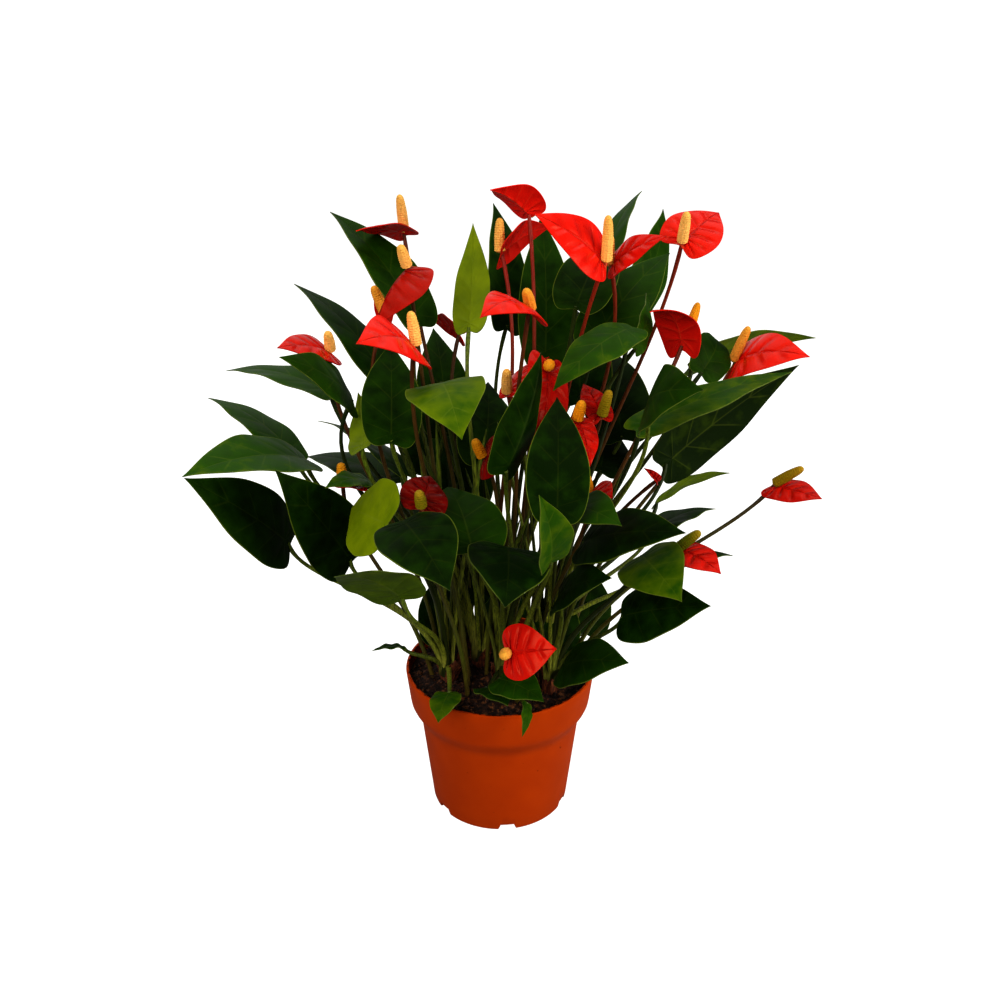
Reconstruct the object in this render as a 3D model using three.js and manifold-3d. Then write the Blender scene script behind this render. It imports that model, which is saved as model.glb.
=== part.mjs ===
import * as THREE from "three";
import { mergeVertices } from "three/addons/utils/BufferGeometryUtils.js";
import Module from "manifold-3d";

// A potted anthurium: an orange nursery pot filled with soil, seven crowns of long-stalked, heart-shaped
// leaves, and tall flower stalks that each carry a red spathe and a yellow spadix.
// Millimetres, +Z up. The origin is the centre of the pot's foot, and the front of the plant faces -Y.

const wasm = await Module();
wasm.setup();

const DEG = Math.PI / 180;
const UP = new THREE.Vector3(0, 0, 1);
const GAP = 0.35; // clearance between pieces that touch
const WELD = 1e-4; // corners closer than this are one

// ---- Driving dimensions ----

const POT = {
  rimRadius: 85, // a 17 cm pot
  height: 138,
  footRadius: 62.5,
  footRound: 3,
  wall: 1.8,
  floor: 2.5,
  lip: 3, // how far the rolled lip stands in from the rim
  lipHeight: 3.5,
  collarHeight: 30, // the upright band under the rim
  collarRadius: 81.5, // outside, at the band's lower edge
  shoulderZ: 89, // where the band has run in to the tapered wall
  shoulderRadius: 72.4,
  notches: 6, // drain notches cut up into the foot
  notchWidth: 18,
  notchTop: 12,
  notchHeight: 7,
  notchDepth: 16,
  notchTurn: 6 * DEG,
  sides: 32,
};

const SOIL = {
  edgeZ: 128, // soil level at the pot wall
  mound: 6, // how much higher the middle lies
  lump: 1.3, // height of the crumbs
  rings: 4,
  sides: 20,
  seed: 11,
};

// depth is how deep a flower stalk stands in the soil. Every stalk's line rises over the share rise of its
// length, leans a little towards its blade, and bends into it over the share bend.
const STALK = { sides: 5, steps: 4, depth: 14, rise: 0.4, lean: 0.05, bend: 0.3 };
const PETIOLE = { foot: 2.7, top: 1.5 }; // radii of a leaf stalk
const PEDUNCLE = { foot: 2.1, top: 1.5 }; // radii of a flower stalk
const CROWN = { radius: 7.5, shoulder: 6, rise: 10, spread: 4, sides: 7 };

// Powers of the way from notch to point that shape the margin of a half blade: run lengthwise, shift and full
// sideways, sharp at the point, hook for the lobes behind the stalk, and lag for the ribs along the midrib.
const MARGIN = { run: 1.3, shift: 0.85, full: 0.7, sharp: 0.4, hook: 4, lag: 1.7 };
const BLADE = {
  thickness: 1,
  lobe: 1.2, // how far the lobes reach back past the stalk
  notch: 0.03,
  fan: 0.05, // where the first ribs leave the midrib, as a share of its length
  fanEnd: 0.3,
  ribs: [0.1, 0.24, 0.42, 0.62, 0.82], // where the side ribs end on the margin
};
const SPATHE = {
  thickness: 1,
  lobe: 2,
  notch: 0.05,
  fan: 0.08,
  fanEnd: 0.32,
  ribs: [0.12, 0.3, 0.53, 0.78],
};
const SPADIX = {
  foot: 1.5,
  radius: 4.4,
  tip: 3.2,
  belly: 0.06, // where it starts to taper, as a share of its length
  taper: 0.75,
  relief: 0.09,
  sides: 6,
  rings: 5,
};

// ---- The layout, as it shows from the front ----

// The viewpoint: places are given as [across, down] in a picture 1000 wide and 1000 high taken from here.
const VIEW = { eye: new THREE.Vector3(0, -817, 650), pitch: 23.3 * DEG, focal: 1052, middle: 500 };
const NEAR = -1;
const FAR = 1;
const RIGHTWARD = 0.3; // how much a blade's upper side favours the right over the sky

// Every crown: stem, where it stands in the soil, and its leaves. Every leaf: at, where its stalk joins the
// blade in the picture, and y, how deep that point lies; tip, the blade's point in the picture, with the real
// length and whether it points to the NEAR or FAR side; wide, the real width; face, the angle that its upper
// side turns from the viewpoint towards the sky (or to the right, if the blade stands upright); fold, how far
// its halves rise from flat; arch, its height over its length; bow, how far its stalk bends to the right and
// to the back.
const CROWNS = {
  left: {
    stem: [-46, -14],
    leaves: [
      { at: [288, 543], y: -20, tip: [184, 478], long: 122, wide: 62, face: 30, arch: 0.05 },
      { at: [350, 560], y: -29, tip: [275, 470], long: 122, wide: 60, face: 20, arch: 0.05, bow: [-3, -6] },
      { at: [386, 524], y: -105, tip: [352, 508], long: 80, to: FAR, wide: 64, face: 0, arch: 0.05 },
      { at: [402, 598], y: -85, tip: [334, 577], long: 85, wide: 60, face: 115 },
      { at: [404, 522], y: -120, tip: [450, 591], long: 80, wide: 58, face: 18 },
      { at: [449, 693], y: -74, tip: [438, 723], long: 36, wide: 26, face: 25 },
      { at: [403, 647], y: -30, tip: [372, 651], long: 30, wide: 9, face: 60 },
    ],
  },
  back_left: {
    stem: [-34, 40],
    leaves: [
      { at: [352, 400], y: 1, tip: [279, 357], long: 95, wide: 46, face: 56, fold: 0, bow: [-30, 0] },
      { at: [330, 393], y: 44, tip: [226, 371], long: 110, to: FAR, wide: 44, face: 68, fold: 6 },
      { at: [294, 455], y: 40, tip: [208, 398], long: 110, to: FAR, wide: 46, face: 62, fold: 2 },
      { at: [304, 459], y: -15, tip: [182, 477], long: 120, wide: 58, face: 54, fold: 8 },
      { at: [402, 472], y: 36, tip: [318, 421], long: 110, to: FAR, wide: 40, face: 74 },
      { at: [392, 482], y: 65, tip: [306, 457], long: 105, to: FAR, wide: 54, face: 60 },
      { at: [368, 480], y: -30, tip: [325, 488], long: 46, wide: 26, face: 56 },
    ],
  },
  middle_left: {
    stem: [-18, 8],
    leaves: [
      { at: [418, 322], y: 42, tip: [330, 212], long: 128, to: FAR, wide: 56, face: 50, fold: 14,
        bow: [-10, 2] },
      { at: [388, 384], y: 25, tip: [294, 284], long: 125, to: FAR, wide: 52, face: 60 },
      { at: [446, 432], y: 62, tip: [433, 328], long: 110, to: FAR, wide: 52, face: 20, bow: [-20, -20] },
      { at: [469, 328], y: 20, tip: [473, 223], long: 95, to: FAR, wide: 32, face: 160, arch: 0.04,
        bow: [14, 0] },
      { at: [391, 440], y: -60, tip: [390, 343], long: 95, to: FAR, wide: 48, face: 8, arch: 0.06 },
      { at: [441, 383], y: -75, tip: [462, 440], long: 70, wide: 58, face: 10, arch: 0.16, bow: [0, 20] },
      { at: [362, 448], y: -50, tip: [358, 392], long: 75, to: FAR, wide: 28, face: 150, arch: 0.06,
        bow: [0, 12] },
    ],
  },
  front: {
    stem: [2, -22],
    leaves: [
      { at: [472, 550], y: -103, tip: [448, 487], long: 90, to: FAR, wide: 64, face: 24, fold: 10,
        bow: [6, 17] },
      { at: [508, 548], y: -105, tip: [505, 608], long: 75, wide: 62, face: 10 },
      { at: [506, 471], y: -104, tip: [541, 352], long: 93, to: FAR, wide: 36, face: 36, fold: -26,
        bow: [19, -2] },
      { at: [557, 515], y: -134, tip: [557, 397], long: 104, to: FAR, wide: 47, face: 8, arch: 0.06 },
      { at: [550, 562], y: -155, tip: [539, 495], long: 66, wide: 36, face: 40, fold: 20, bow: [33, 0] },
      { at: [566, 508], y: -75, tip: [622, 526], long: 80, wide: 42, face: 40 },
      { at: [500, 679], y: -80, tip: [544, 702], long: 46, wide: 38, face: 40 },
      { at: [486, 688], y: -66, tip: [508, 706], long: 36, wide: 32, face: 50 },
      { at: [527, 704], y: -84, tip: [522, 737], long: 32, wide: 10, face: 30 },
    ],
  },
  back: {
    stem: [6, 44],
    leaves: [
      { at: [507, 325], y: 115, tip: [493, 203], long: 130, to: FAR, wide: 46, face: 40 },
      { at: [545, 360], y: 80, tip: [541, 214], long: 145, to: FAR, wide: 52, face: 20, arch: 0.05 },
      { at: [576, 306], y: 45, tip: [610, 240], long: 90, to: FAR, wide: 52, face: 20 },
      { at: [605, 270], y: 162, tip: [642, 191], long: 105, to: FAR, wide: 36, face: 60, bow: [-11, 14] },
      { at: [632, 310], y: 130, tip: [663, 209], long: 120, to: FAR, wide: 46, face: 45 },
      { at: [594, 342], y: 60, tip: [670, 253], long: 118, to: FAR, wide: 56, face: 30 },
      { at: [580, 400], y: 72, tip: [574, 308], long: 120, to: FAR, wide: 60, face: 10, bow: [2, 2] },
      { at: [622, 436], y: 76, tip: [603, 345], long: 120, to: FAR, wide: 62, face: 10 },
      { at: [484, 462], y: 30, tip: [488, 382], long: 95, to: FAR, wide: 54, face: 12 },
    ],
  },
  right: {
    stem: [40, 20],
    leaves: [
      { at: [636, 348], y: 14, tip: [646, 293], long: 66, to: FAR, wide: 22, face: 60 },
      { at: [702, 372], y: 40, tip: [711, 338], long: 60, to: FAR, wide: 38, face: 30, arch: 0.2 },
      { at: [692, 366], y: 95, tip: [816, 338], long: 125, to: FAR, wide: 40, face: 120 },
      { at: [646, 410], y: -57, tip: [704, 390], long: 78, wide: 54, face: 42, fold: 0, arch: 0.16 },
      { at: [640, 428], y: -27, tip: [792, 372], long: 140, to: FAR, wide: 52, face: 62, arch: 0.04 },
      { at: [666, 464], y: 42, tip: [799, 365], long: 150, to: FAR, wide: 62, face: 140, arch: 0.04 },
      { at: [657, 502], y: 85, tip: [730, 473], long: 90, to: FAR, wide: 26, face: 112 },
      { at: [652, 532], y: 75, tip: [716, 509], long: 85, to: FAR, wide: 40, face: 68 },
      { at: [656, 566], y: 50, tip: [733, 556], long: 90, to: FAR, wide: 36, face: 64 },
    ],
  },
  front_right: {
    stem: [44, -30],
    leaves: [
      { at: [630, 328], y: 10, tip: [553, 391], long: 92, wide: 46, face: 45, fold: 0, bow: [-6, 0] },
      { at: [584, 542], y: -45, tip: [686, 533], long: 112, wide: 56, face: 44, fold: 0, arch: 0.06 },
      { at: [642, 556], y: -60, tip: [682, 602], long: 78, wide: 54, face: 10 },
      { at: [558, 598], y: -50, tip: [612, 578], long: 80, wide: 46, face: 50 },
      { at: [623, 616], y: -60, tip: [711, 606], long: 84, wide: 54, face: 30, fold: 0, arch: 0.05 },
      { at: [563, 666], y: -62, tip: [629, 663], long: 72, wide: 50, face: 40, fold: 0 },
    ],
  },
};

// Every flower: stem, where its stalk stands in the soil, and the same words for its spathe. rod is the tip
// of the spadix in the picture, size its real length, and rodTo the side it points to; square is how squarely
// the stalk meets the spathe. The last one is a bud, still rolled round its spadix.
const FLOWERS = [
  { stem: [-24, 24], at: [404, 234], y: 90, tip: [356, 231], long: 50, wide: 37, face: 104,
    rod: [399, 197], size: 36 },
  { stem: [-25, -14], at: [408, 268], y: -2, tip: [376, 327], long: 58, wide: 46, face: 60, fold: -35,
    rod: [401, 247], size: 21, bow: [-28, 6] },
  { stem: [-40, 10], at: [384, 317], y: 15, tip: [376, 281], long: 42, to: FAR, wide: 20, face: 50,
    rod: [371, 287], size: 28, bow: [-17, -26] },
  { stem: [-28, -26], at: [414, 348], y: -70, tip: [356, 344], long: 56, wide: 52, face: 54, arch: 0.16,
    rod: [408, 313], size: 27 },
  { stem: [-4, 26], at: [502, 254], y: 56, tip: [550, 227], long: 56, to: FAR, wide: 44, face: 120, lobe: 1.4,
    rod: [502, 219], size: 28, bow: [-8, -6] },
  { stem: [22, 6], at: [604, 263], y: 0, tip: [534, 214], long: 70, wide: 46, face: 45, lobe: 1.2,
    rod: [606, 216], size: 38, bow: [14, 0] },
  { stem: [30, 34], at: [611, 267], y: 25, tip: [667, 236], long: 58, wide: 30, face: 50, lobe: 1,
    rod: [613, 234], size: 24 },
  { stem: [4, 28], at: [529, 215], y: 60, tip: [490, 190], long: 48, wide: 42, face: 127, fold: 28,
    rod: [537, 203], size: 18, rodTo: FAR, bow: [20, 0] },
  { stem: [38, 36], at: [682, 243], y: 45, tip: [719, 213], long: 54, to: FAR, wide: 48, face: 28,
    rod: [687, 213], size: 31, bow: [11, 5] },
  { stem: [4, 10], at: [529, 311], y: -40, tip: [480, 318], long: 54, wide: 44, face: 60, fold: 0, arch: 0.2,
    rod: [524, 292], size: 24 },
  { stem: [-14, 30], at: [459, 334], y: 70, tip: [431, 320], long: 36, to: FAR, wide: 32, face: 118,
    rod: [461, 314], size: 20 },
  { stem: [-54, 6], at: [329, 352], y: 18, tip: [277, 348], long: 52, wide: 38, face: 58,
    rod: [326, 334], size: 22 },
  { stem: [0, -4], at: [508, 394], y: -10, tip: [549, 357], long: 58, to: FAR, wide: 28, face: 66, lobe: 0.8,
    rod: [508, 371], size: 24, bow: [4, -4] },
  { stem: [26, -4], at: [548, 366], y: -12, tip: [532, 469], long: 90, wide: 40, face: 30,
    rod: [546, 369], size: 17 },
  { stem: [56, 16], at: [682, 346], y: 31, tip: [650, 312], long: 50, wide: 42, face: 125, arch: 0.26,
    rod: [697, 303], size: 42, rodTo: FAR, bow: [-3, -3] },
  { stem: [62, 26], at: [735, 363], y: 68, tip: [810, 357], long: 72, wide: 50, face: 46, arch: 0.14,
    rod: [751, 328], size: 36, bow: [5, 30] },
  { stem: [60, -8], at: [774, 486], y: 20, tip: [822, 499], long: 48, wide: 34, face: 50, fold: 0, arch: 0.02,
    rod: [804, 470], size: 30, square: 0.1 },
  { stem: [60, -22], at: [678, 551], y: -60, tip: [721, 574], long: 46, wide: 38, face: 48,
    rod: [701, 534], size: 24 },
  { stem: [10, -50], at: [508, 653], y: -124, tip: [557, 649], long: 41, wide: 43, face: 4,
    rod: [505, 656], size: 16, bow: [20, 0] },
  { stem: [-12, -10], at: [485, 458], y: -35, tip: [513, 457], long: 34, wide: 38, face: 20,
    rod: [476, 440], size: 18 },
  { stem: [-28, -40], at: [421, 508], y: -91, tip: [430, 476], long: 38, to: FAR, wide: 38, face: 10,
    rod: [418, 492], size: 16 },
  { stem: [24, -20], at: [577, 421], y: -60, tip: [590, 467], long: 42, wide: 26, face: 30,
    rod: [582, 402], size: 18 },
  { stem: [28, 14], at: [601, 417], y: -20, tip: [583, 384], long: 40, to: FAR, wide: 24, face: 30,
    rod: [609, 391], size: 24 },
  { stem: [30, -12], at: [590, 494], y: -40, tip: [613, 498], long: 34, wide: 32, face: 40,
    rod: [588, 476], size: 16, bow: [-6, 0] },
  { stem: [-58, -10], at: [343, 484], y: -23, tip: [368, 492], long: 32, wide: 24, face: 66,
    rod: [341, 464], size: 17, bow: [-18, 20] },
  { stem: [52, 36], at: [656, 481], y: 10, tip: [644, 468], long: 20, wide: 12, face: 30, fold: 50 },
];

// What a row leaves out.
const USUAL = { to: NEAR, fold: 4, arch: 0.08, bow: [0, 0], square: 0.7, rodTo: NEAR };

// ---- Small tools ----

// The geometry with one corner where several coincide.
function welded(geometry) {
  const bare = geometry.clone();
  bare.deleteAttribute("normal");
  bare.deleteAttribute("uv");
  return mergeVertices(bare, WELD);
}

function solid(geometry) {
  const { attributes, index } = welded(geometry);
  const mesh = new wasm.Mesh({
    numProp: 3,
    vertProperties: new Float32Array(attributes.position.array),
    triVerts: new Uint32Array(index.array),
  });
  return new wasm.Manifold(mesh);
}

// A solid's surface, ready for a mesh.
function geometryOf(body) {
  const { vertProperties, triVerts } = body.getMesh();
  const geometry = new THREE.BufferGeometry();
  geometry.setAttribute("position", new THREE.BufferAttribute(vertProperties, 3));
  geometry.setIndex(new THREE.BufferAttribute(triVerts, 1));
  return geometry;
}

// The part of a vector that lies square to an axis.
function squareTo(axis, vector) {
  return vector.clone().addScaledVector(axis, -vector.dot(axis)).normalize();
}

// A repeatable draw from 0 to 1.
function drawFrom(seed) {
  let state = seed;
  return () => {
    state = (state * 16807) % 2147483647;
    return state / 2147483647;
  };
}

// ---- From the picture to the plant ----

function sightLine([right, down]) {
  const { pitch, focal, middle } = VIEW;
  const rise = (middle - down) / focal;
  return new THREE.Vector3(
    (right - middle) / focal,
    Math.cos(pitch) + rise * Math.sin(pitch),
    rise * Math.cos(pitch) - Math.sin(pitch),
  );
}

// The point seen at a place in the picture, on the plane that lies at depth y.
function seenAt(place, y) {
  const line = sightLine(place);
  return VIEW.eye.clone().addScaledVector(line, (y - VIEW.eye.y) / line.y);
}

// The point seen at a place in the picture that lies the given distance from another point.
function seenFrom(start, place, distance, to) {
  const line = sightLine(place).normalize();
  const reach = start.clone().sub(VIEW.eye);
  const nearest = reach.dot(line);
  const missBy = reach.lengthSq() - nearest * nearest;
  const more = Math.sqrt(Math.max(0, distance * distance - missBy));
  return VIEW.eye.clone().addScaledVector(line, nearest + to * more);
}

// ---- Blades: leaves and spathes ----

// A blade with its own frame: along its midrib, out of its upper face, and to the side.
function placeBlade(row, form) {
  const blade = { ...USUAL, ...row, form: { ...form, lobe: row.lobe ?? form.lobe } };
  const joint = seenAt(blade.at, blade.y);
  const tip = seenFrom(joint, blade.tip, blade.long, blade.to);
  const along = tip.clone().sub(joint);
  const length = along.length();
  along.normalize();
  const facing = squareTo(along, VIEW.eye.clone().sub(joint));
  const upward = along.clone().cross(facing);
  if (upward.z + RIGHTWARD * upward.x < 0) upward.negate();
  const out = facing.multiplyScalar(Math.cos(blade.face * DEG));
  out.addScaledVector(upward, Math.sin(blade.face * DEG));
  return { ...blade, joint, along, out, side: out.clone().cross(along), length };
}

// The margin of a half blade, from the notch at the stalk (v = 0) round the lobe to the point (v = 1),
// as shares of the length and of the half width.
function margin(form, v) {
  const { run, shift, full, sharp, hook } = MARGIN;
  const back = form.lobe * v * (1 - v) ** hook + form.notch * (1 - v);
  return [v ** run - back, Math.sin(Math.PI * v ** shift) ** (full + sharp * v)];
}

// Where the rib that ends at v on the margin leaves the midrib: the first few all leave it at one point.
function ribRoot(form, v) {
  return form.fan + (1 - form.fan) * Math.max(0, (v - form.fanEnd) / (1 - form.fanEnd)) ** MARGIN.lag;
}

// A point of the blade's middle surface: share is 0 on the midrib and 1 on the margin.
function bladePoint(blade, v, share, hand) {
  const [end, half] = margin(blade.form, v);
  const root = v > 0 ? ribRoot(blade.form, v) : end;
  const lengthwise = root + (end - root) * share;
  const sideways = half * share * (blade.wide / 2);
  const fold = blade.fold * DEG;
  const rise = sideways * Math.sin(fold) + 4 * blade.arch * blade.length * lengthwise * (1 - lengthwise);
  return blade.joint
    .clone()
    .addScaledVector(blade.along, lengthwise * blade.length)
    .addScaledVector(blade.side, hand * sideways * Math.cos(fold))
    .addScaledVector(blade.out, rise);
}

// The middle surface as points and triangles, from rib to rib on each side; edges is its margin in order.
function bladeSurface(blade) {
  const { ribs, fanEnd } = blade.form;
  const points = [];
  const add = (v, share, hand) => points.push(bladePoint(blade, v, share, hand)) - 1;
  const notch = add(0, 0, 1);
  const tip = add(1, 0, 1);
  const fan = add(fanEnd, 0, 1);
  const roots = ribs.map((v) => (v > fanEnd ? add(v, 0, 1) : fan));
  const triangles = [];
  const edges = [];
  for (const hand of [1, -1]) {
    const turned = (corners) => (hand > 0 ? corners : corners.reverse());
    const rows = ribs.map((v, i) => [roots[i], add(v, 1, hand)]);
    const lines = [[notch, notch], ...rows, [tip, tip]];
    for (let i = 1; i < lines.length; i++) {
      const [from, to] = [lines[i - 1], lines[i]];
      triangles.push(turned([from[0], to[0], to[1]]), turned([from[0], to[1], from[1]]));
      edges.push(turned([from[1], to[1]]));
    }
  }
  return { points, triangles: triangles.filter((corners) => new Set(corners).size === 3), edges };
}

// The blade as a sheet of even thickness, split alike on both faces.
function bladeSolid(blade) {
  const { points, triangles, edges } = bladeSurface(blade);
  const count = points.length;
  const half = blade.form.thickness / 2;
  const corners = [half, -half].flatMap((offset) =>
    points.flatMap((point) => point.clone().addScaledVector(blade.out, offset).toArray()),
  );
  const faces = triangles.flatMap(([a, b, c]) => [a, b, c, b + count, a + count, c + count]);
  for (const [a, b] of edges) faces.push(a, b, b + count, a, b + count, a + count);
  const geometry = new THREE.BufferGeometry();
  geometry.setAttribute("position", new THREE.Float32BufferAttribute(corners, 3));
  geometry.setIndex(faces);
  return solid(geometry);
}

// ---- Stalks ----

// A round stalk along a curve, thinner towards its top.
function stalkSolid(curve, { foot, top }) {
  const { sides, steps } = STALK;
  const corners = Array.from({ length: sides }, (_, i) => {
    const turn = (i * 2 * Math.PI) / sides;
    return new THREE.Vector2(Math.cos(turn), Math.sin(turn));
  });
  const outline = new THREE.Shape(corners);
  const tube = new THREE.ExtrudeGeometry(outline, { steps, extrudePath: curve, bevelEnabled: false });
  const stations = curve.getSpacedPoints(steps);
  const { position } = tube.attributes;
  for (let i = 0; i < position.count; i++) {
    const point = new THREE.Vector3().fromBufferAttribute(position, i);
    const away = stations.map((station) => station.distanceTo(point));
    const step = away.indexOf(Math.min(...away));
    const radius = foot + (top - foot) * (step / steps);
    point.sub(stations[step]).multiplyScalar(radius).add(stations[step]);
    position.setXYZ(i, ...point);
  }
  return solid(tube);
}

// A stalk's line: it rises from its foot, leans over, and meets its blade from behind.
function stalkLine(foot, blade) {
  const { rise, lean, bend } = STALK;
  const reach = blade.joint.clone().sub(foot);
  const length = reach.length();
  const [right, back] = blade.bow;
  const bow = new THREE.Vector3(right, back, 0);
  const low = foot.clone().addScaledVector(UP, rise * length).addScaledVector(reach, lean).add(bow);
  const arrival = reach.normalize().addScaledVector(blade.out, blade.square).normalize();
  const high = blade.joint.clone().addScaledVector(arrival, -bend * length).add(bow);
  return new THREE.CubicBezierCurve3(foot, low, high, blade.joint);
}

// The height of the soil, which is mounded up in the middle.
function soilLevel(x, y) {
  const share = Math.min(1, Math.hypot(x, y) / POT.collarRadius);
  return SOIL.edgeZ + SOIL.mound * (1 - share * share);
}

// ---- Pieces ----

// A crown's short stem, standing in the soil.
function crownStem([x, y], clearance) {
  const height = STALK.depth + CROWN.rise;
  const wide = CROWN.radius + clearance;
  const stem = new THREE.CylinderGeometry(CROWN.shoulder + clearance, wide, height + clearance, CROWN.sides);
  stem.rotateX(90 * DEG);
  stem.translate(x, y, soilLevel(x, y) - STALK.depth - clearance + (height + clearance) / 2);
  return solid(stem);
}

// A crown: its stem and every leaf on it, grown together.
function crownSolid({ stem, leaves }) {
  const [x, y] = stem;
  let crown = crownStem(stem, 0);
  for (const row of leaves) {
    const blade = placeBlade(row, BLADE);
    const turn = Math.atan2(blade.joint.y - y, blade.joint.x - x);
    const foot = new THREE.Vector3(
      x + CROWN.spread * Math.cos(turn),
      y + CROWN.spread * Math.sin(turn),
      soilLevel(x, y) + CROWN.rise / 2,
    );
    crown = crown.add(stalkSolid(stalkLine(foot, blade), PETIOLE)).add(bladeSolid(blade));
  }
  return crown;
}

// The line of a flower's stalk, from its foot in the soil.
function flowerLine(spathe) {
  const [x, y] = spathe.stem;
  return stalkLine(new THREE.Vector3(x, y, soilLevel(x, y) - STALK.depth), spathe);
}

function flowerSolid(spathe) {
  return stalkSolid(flowerLine(spathe), PEDUNCLE).add(bladeSolid(spathe));
}

// The hole that a flower stalk stands in, in line with the stalk's lowest stretch.
function flowerHole(spathe) {
  const [start, next] = flowerLine(spathe).getSpacedPoints(STALK.steps);
  const lean = next.sub(start).normalize();
  const radius = (PEDUNCLE.foot + GAP) / Math.cos(Math.PI / STALK.sides);
  const length = 2 * STALK.depth;
  const hole = new THREE.CylinderGeometry(radius, radius, length, STALK.sides);
  hole.translate(0, length / 2 - radius, 0);
  hole.applyQuaternion(new THREE.Quaternion().setFromUnitVectors(new THREE.Vector3(0, 1, 0), lean));
  hole.translate(...start);
  return solid(hole);
}

// A spadix, standing on +Z from its foot: a rod that is thickest low down, with a bumpy surface.
function spadixGeometry(length) {
  const { foot, radius, tip, belly, taper, relief, sides, rings } = SPADIX;
  const profile = [new THREE.Vector2(0, 0), new THREE.Vector2(foot, 0)];
  for (let i = 1; i < rings; i++) {
    const share = i / rings;
    const height = belly + (1 - belly) * share ** taper;
    profile.push(new THREE.Vector2(radius + (tip - radius) * share, length * height));
  }
  profile.push(new THREE.Vector2(0, length));
  const rod = new THREE.LatheGeometry(profile, sides);
  const { position } = rod.attributes;
  for (let i = 0; i < position.count; i++) {
    const ring = i % profile.length;
    const column = (i - ring) / profile.length;
    const bump = 1 + relief * (-1) ** (ring + column);
    position.setX(i, position.getX(i) * bump);
    position.setZ(i, position.getZ(i) * bump);
  }
  return welded(rod).rotateX(90 * DEG);
}

// Stands a spadix on its spathe: its foot just clears the upper face, which rises from the joint as it arches.
function seatSpadix(spadix, spathe) {
  const { joint, along, out, arch, form } = spathe;
  const direction = seenFrom(joint, spathe.rod, spathe.size, spathe.rodTo).sub(joint).normalize();
  const normal = out.clone().addScaledVector(along, -4 * arch).normalize();
  const lean = Math.sqrt(1 - direction.dot(normal) ** 2);
  spadix.quaternion.setFromUnitVectors(UP, direction);
  spadix.position.copy(joint).addScaledVector(normal, form.thickness / 2 + GAP + SPADIX.foot * lean);
}

// ---- The pot and its soil ----

// The pot's radius outside at a height.
function potRadius(z) {
  const { footRadius, shoulderZ, shoulderRadius, collarHeight, collarRadius, height, rimRadius } = POT;
  const collarZ = height - collarHeight;
  if (z < shoulderZ) return footRadius + ((shoulderRadius - footRadius) * z) / shoulderZ;
  if (z < collarZ) {
    return shoulderRadius + ((collarRadius - shoulderRadius) * (z - shoulderZ)) / (collarZ - shoulderZ);
  }
  return collarRadius + ((rimRadius - collarRadius) * (z - collarZ)) / collarHeight;
}

// A profile of [radius, height] points turned round the axis.
function turned(profile, sides) {
  const corners = profile.map(([radius, height]) => new THREE.Vector2(radius, height));
  return new THREE.LatheGeometry(corners, sides).rotateX(90 * DEG);
}

// One drain notch in the foot, as a prism that runs inwards, grown by a clearance.
function notch(index, grow) {
  const { notchWidth, notchTop, notchHeight, notchDepth, notchTurn, notches, footRadius } = POT;
  const shape = new THREE.Shape();
  shape.moveTo(-notchWidth / 2 - grow, -1);
  shape.lineTo(notchWidth / 2 + grow, -1);
  shape.lineTo(notchTop / 2 + grow, notchHeight + grow);
  shape.lineTo(-notchTop / 2 - grow, notchHeight + grow);
  const prism = new THREE.ExtrudeGeometry(shape, { depth: notchDepth * 2, bevelEnabled: false });
  prism.rotateX(90 * DEG);
  prism.translate(0, grow - footRadius + notchDepth, 0);
  prism.rotateZ(notchTurn + (index * 360 * DEG) / notches);
  return solid(prism);
}

// The pot: a thin shell, open at the top, with drain notches round its foot.
function potSolid() {
  const { height, footRadius, footRound, wall, floor, lip, lipHeight } = POT;
  const { collarHeight, shoulderZ, notches, sides } = POT;
  const collarZ = height - collarHeight;
  const shell = [
    [0, 0],
    [footRadius - footRound, 0],
    [potRadius(footRound), footRound],
    [potRadius(shoulderZ), shoulderZ],
    [potRadius(collarZ), collarZ],
    [potRadius(height), height],
    [0, height],
  ];
  const hollow = [
    [0, floor],
    [footRadius - footRound, floor],
    [potRadius(floor + footRound) - wall, floor + footRound],
    [potRadius(shoulderZ) - wall, shoulderZ],
    [potRadius(collarZ) - wall, collarZ],
    [potRadius(height - lipHeight) - wall, height - lipHeight],
    [potRadius(height) - lip, height + 1],
    [0, height + 1],
  ];
  let inside = solid(turned(hollow, sides));
  let pot = solid(turned(shell, sides));
  for (let i = 0; i < notches; i++) {
    pot = pot.subtract(notch(i, 0));
    inside = inside.subtract(notch(i, wall));
  }
  return pot.subtract(inside);
}

// The soil fills the pot, rises to a lumpy mound, and is open where a stem or a stalk stands in it.
function soilSolid(holes) {
  const { edgeZ, lump, rings, sides, seed } = SOIL;
  const { footRadius, footRound, wall, floor, shoulderZ, collarHeight, height, notches } = POT;
  const collarZ = height - collarHeight;
  const within = (radius) => (radius - wall) * Math.cos(Math.PI / POT.sides) - GAP;
  const edge = within(potRadius(edgeZ));
  const profile = [
    [0, floor + GAP],
    [footRadius - footRound - GAP, floor + GAP],
    [within(potRadius(floor + footRound)), floor + GAP + footRound],
    [within(potRadius(shoulderZ)), shoulderZ],
    [within(potRadius(collarZ)), collarZ],
    [edge, edgeZ],
  ];
  for (let i = rings - 1; i >= 0; i--) {
    const radius = (edge * i) / rings;
    profile.push([radius, soilLevel(radius, 0)]);
  }
  const ground = welded(turned(profile, sides));
  const draw = drawFrom(seed);
  const { position } = ground.attributes;
  for (let i = 0; i < position.count; i++) {
    const z = position.getZ(i);
    if (z > edgeZ + GAP) position.setZ(i, z + lump * (2 * draw() - 1));
  }
  let soil = solid(ground);
  for (let i = 0; i < notches; i++) soil = soil.subtract(notch(i, wall + GAP));
  for (const hole of holes) soil = soil.subtract(hole);
  return soil;
}

// ---- The plant in its pot ----

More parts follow.
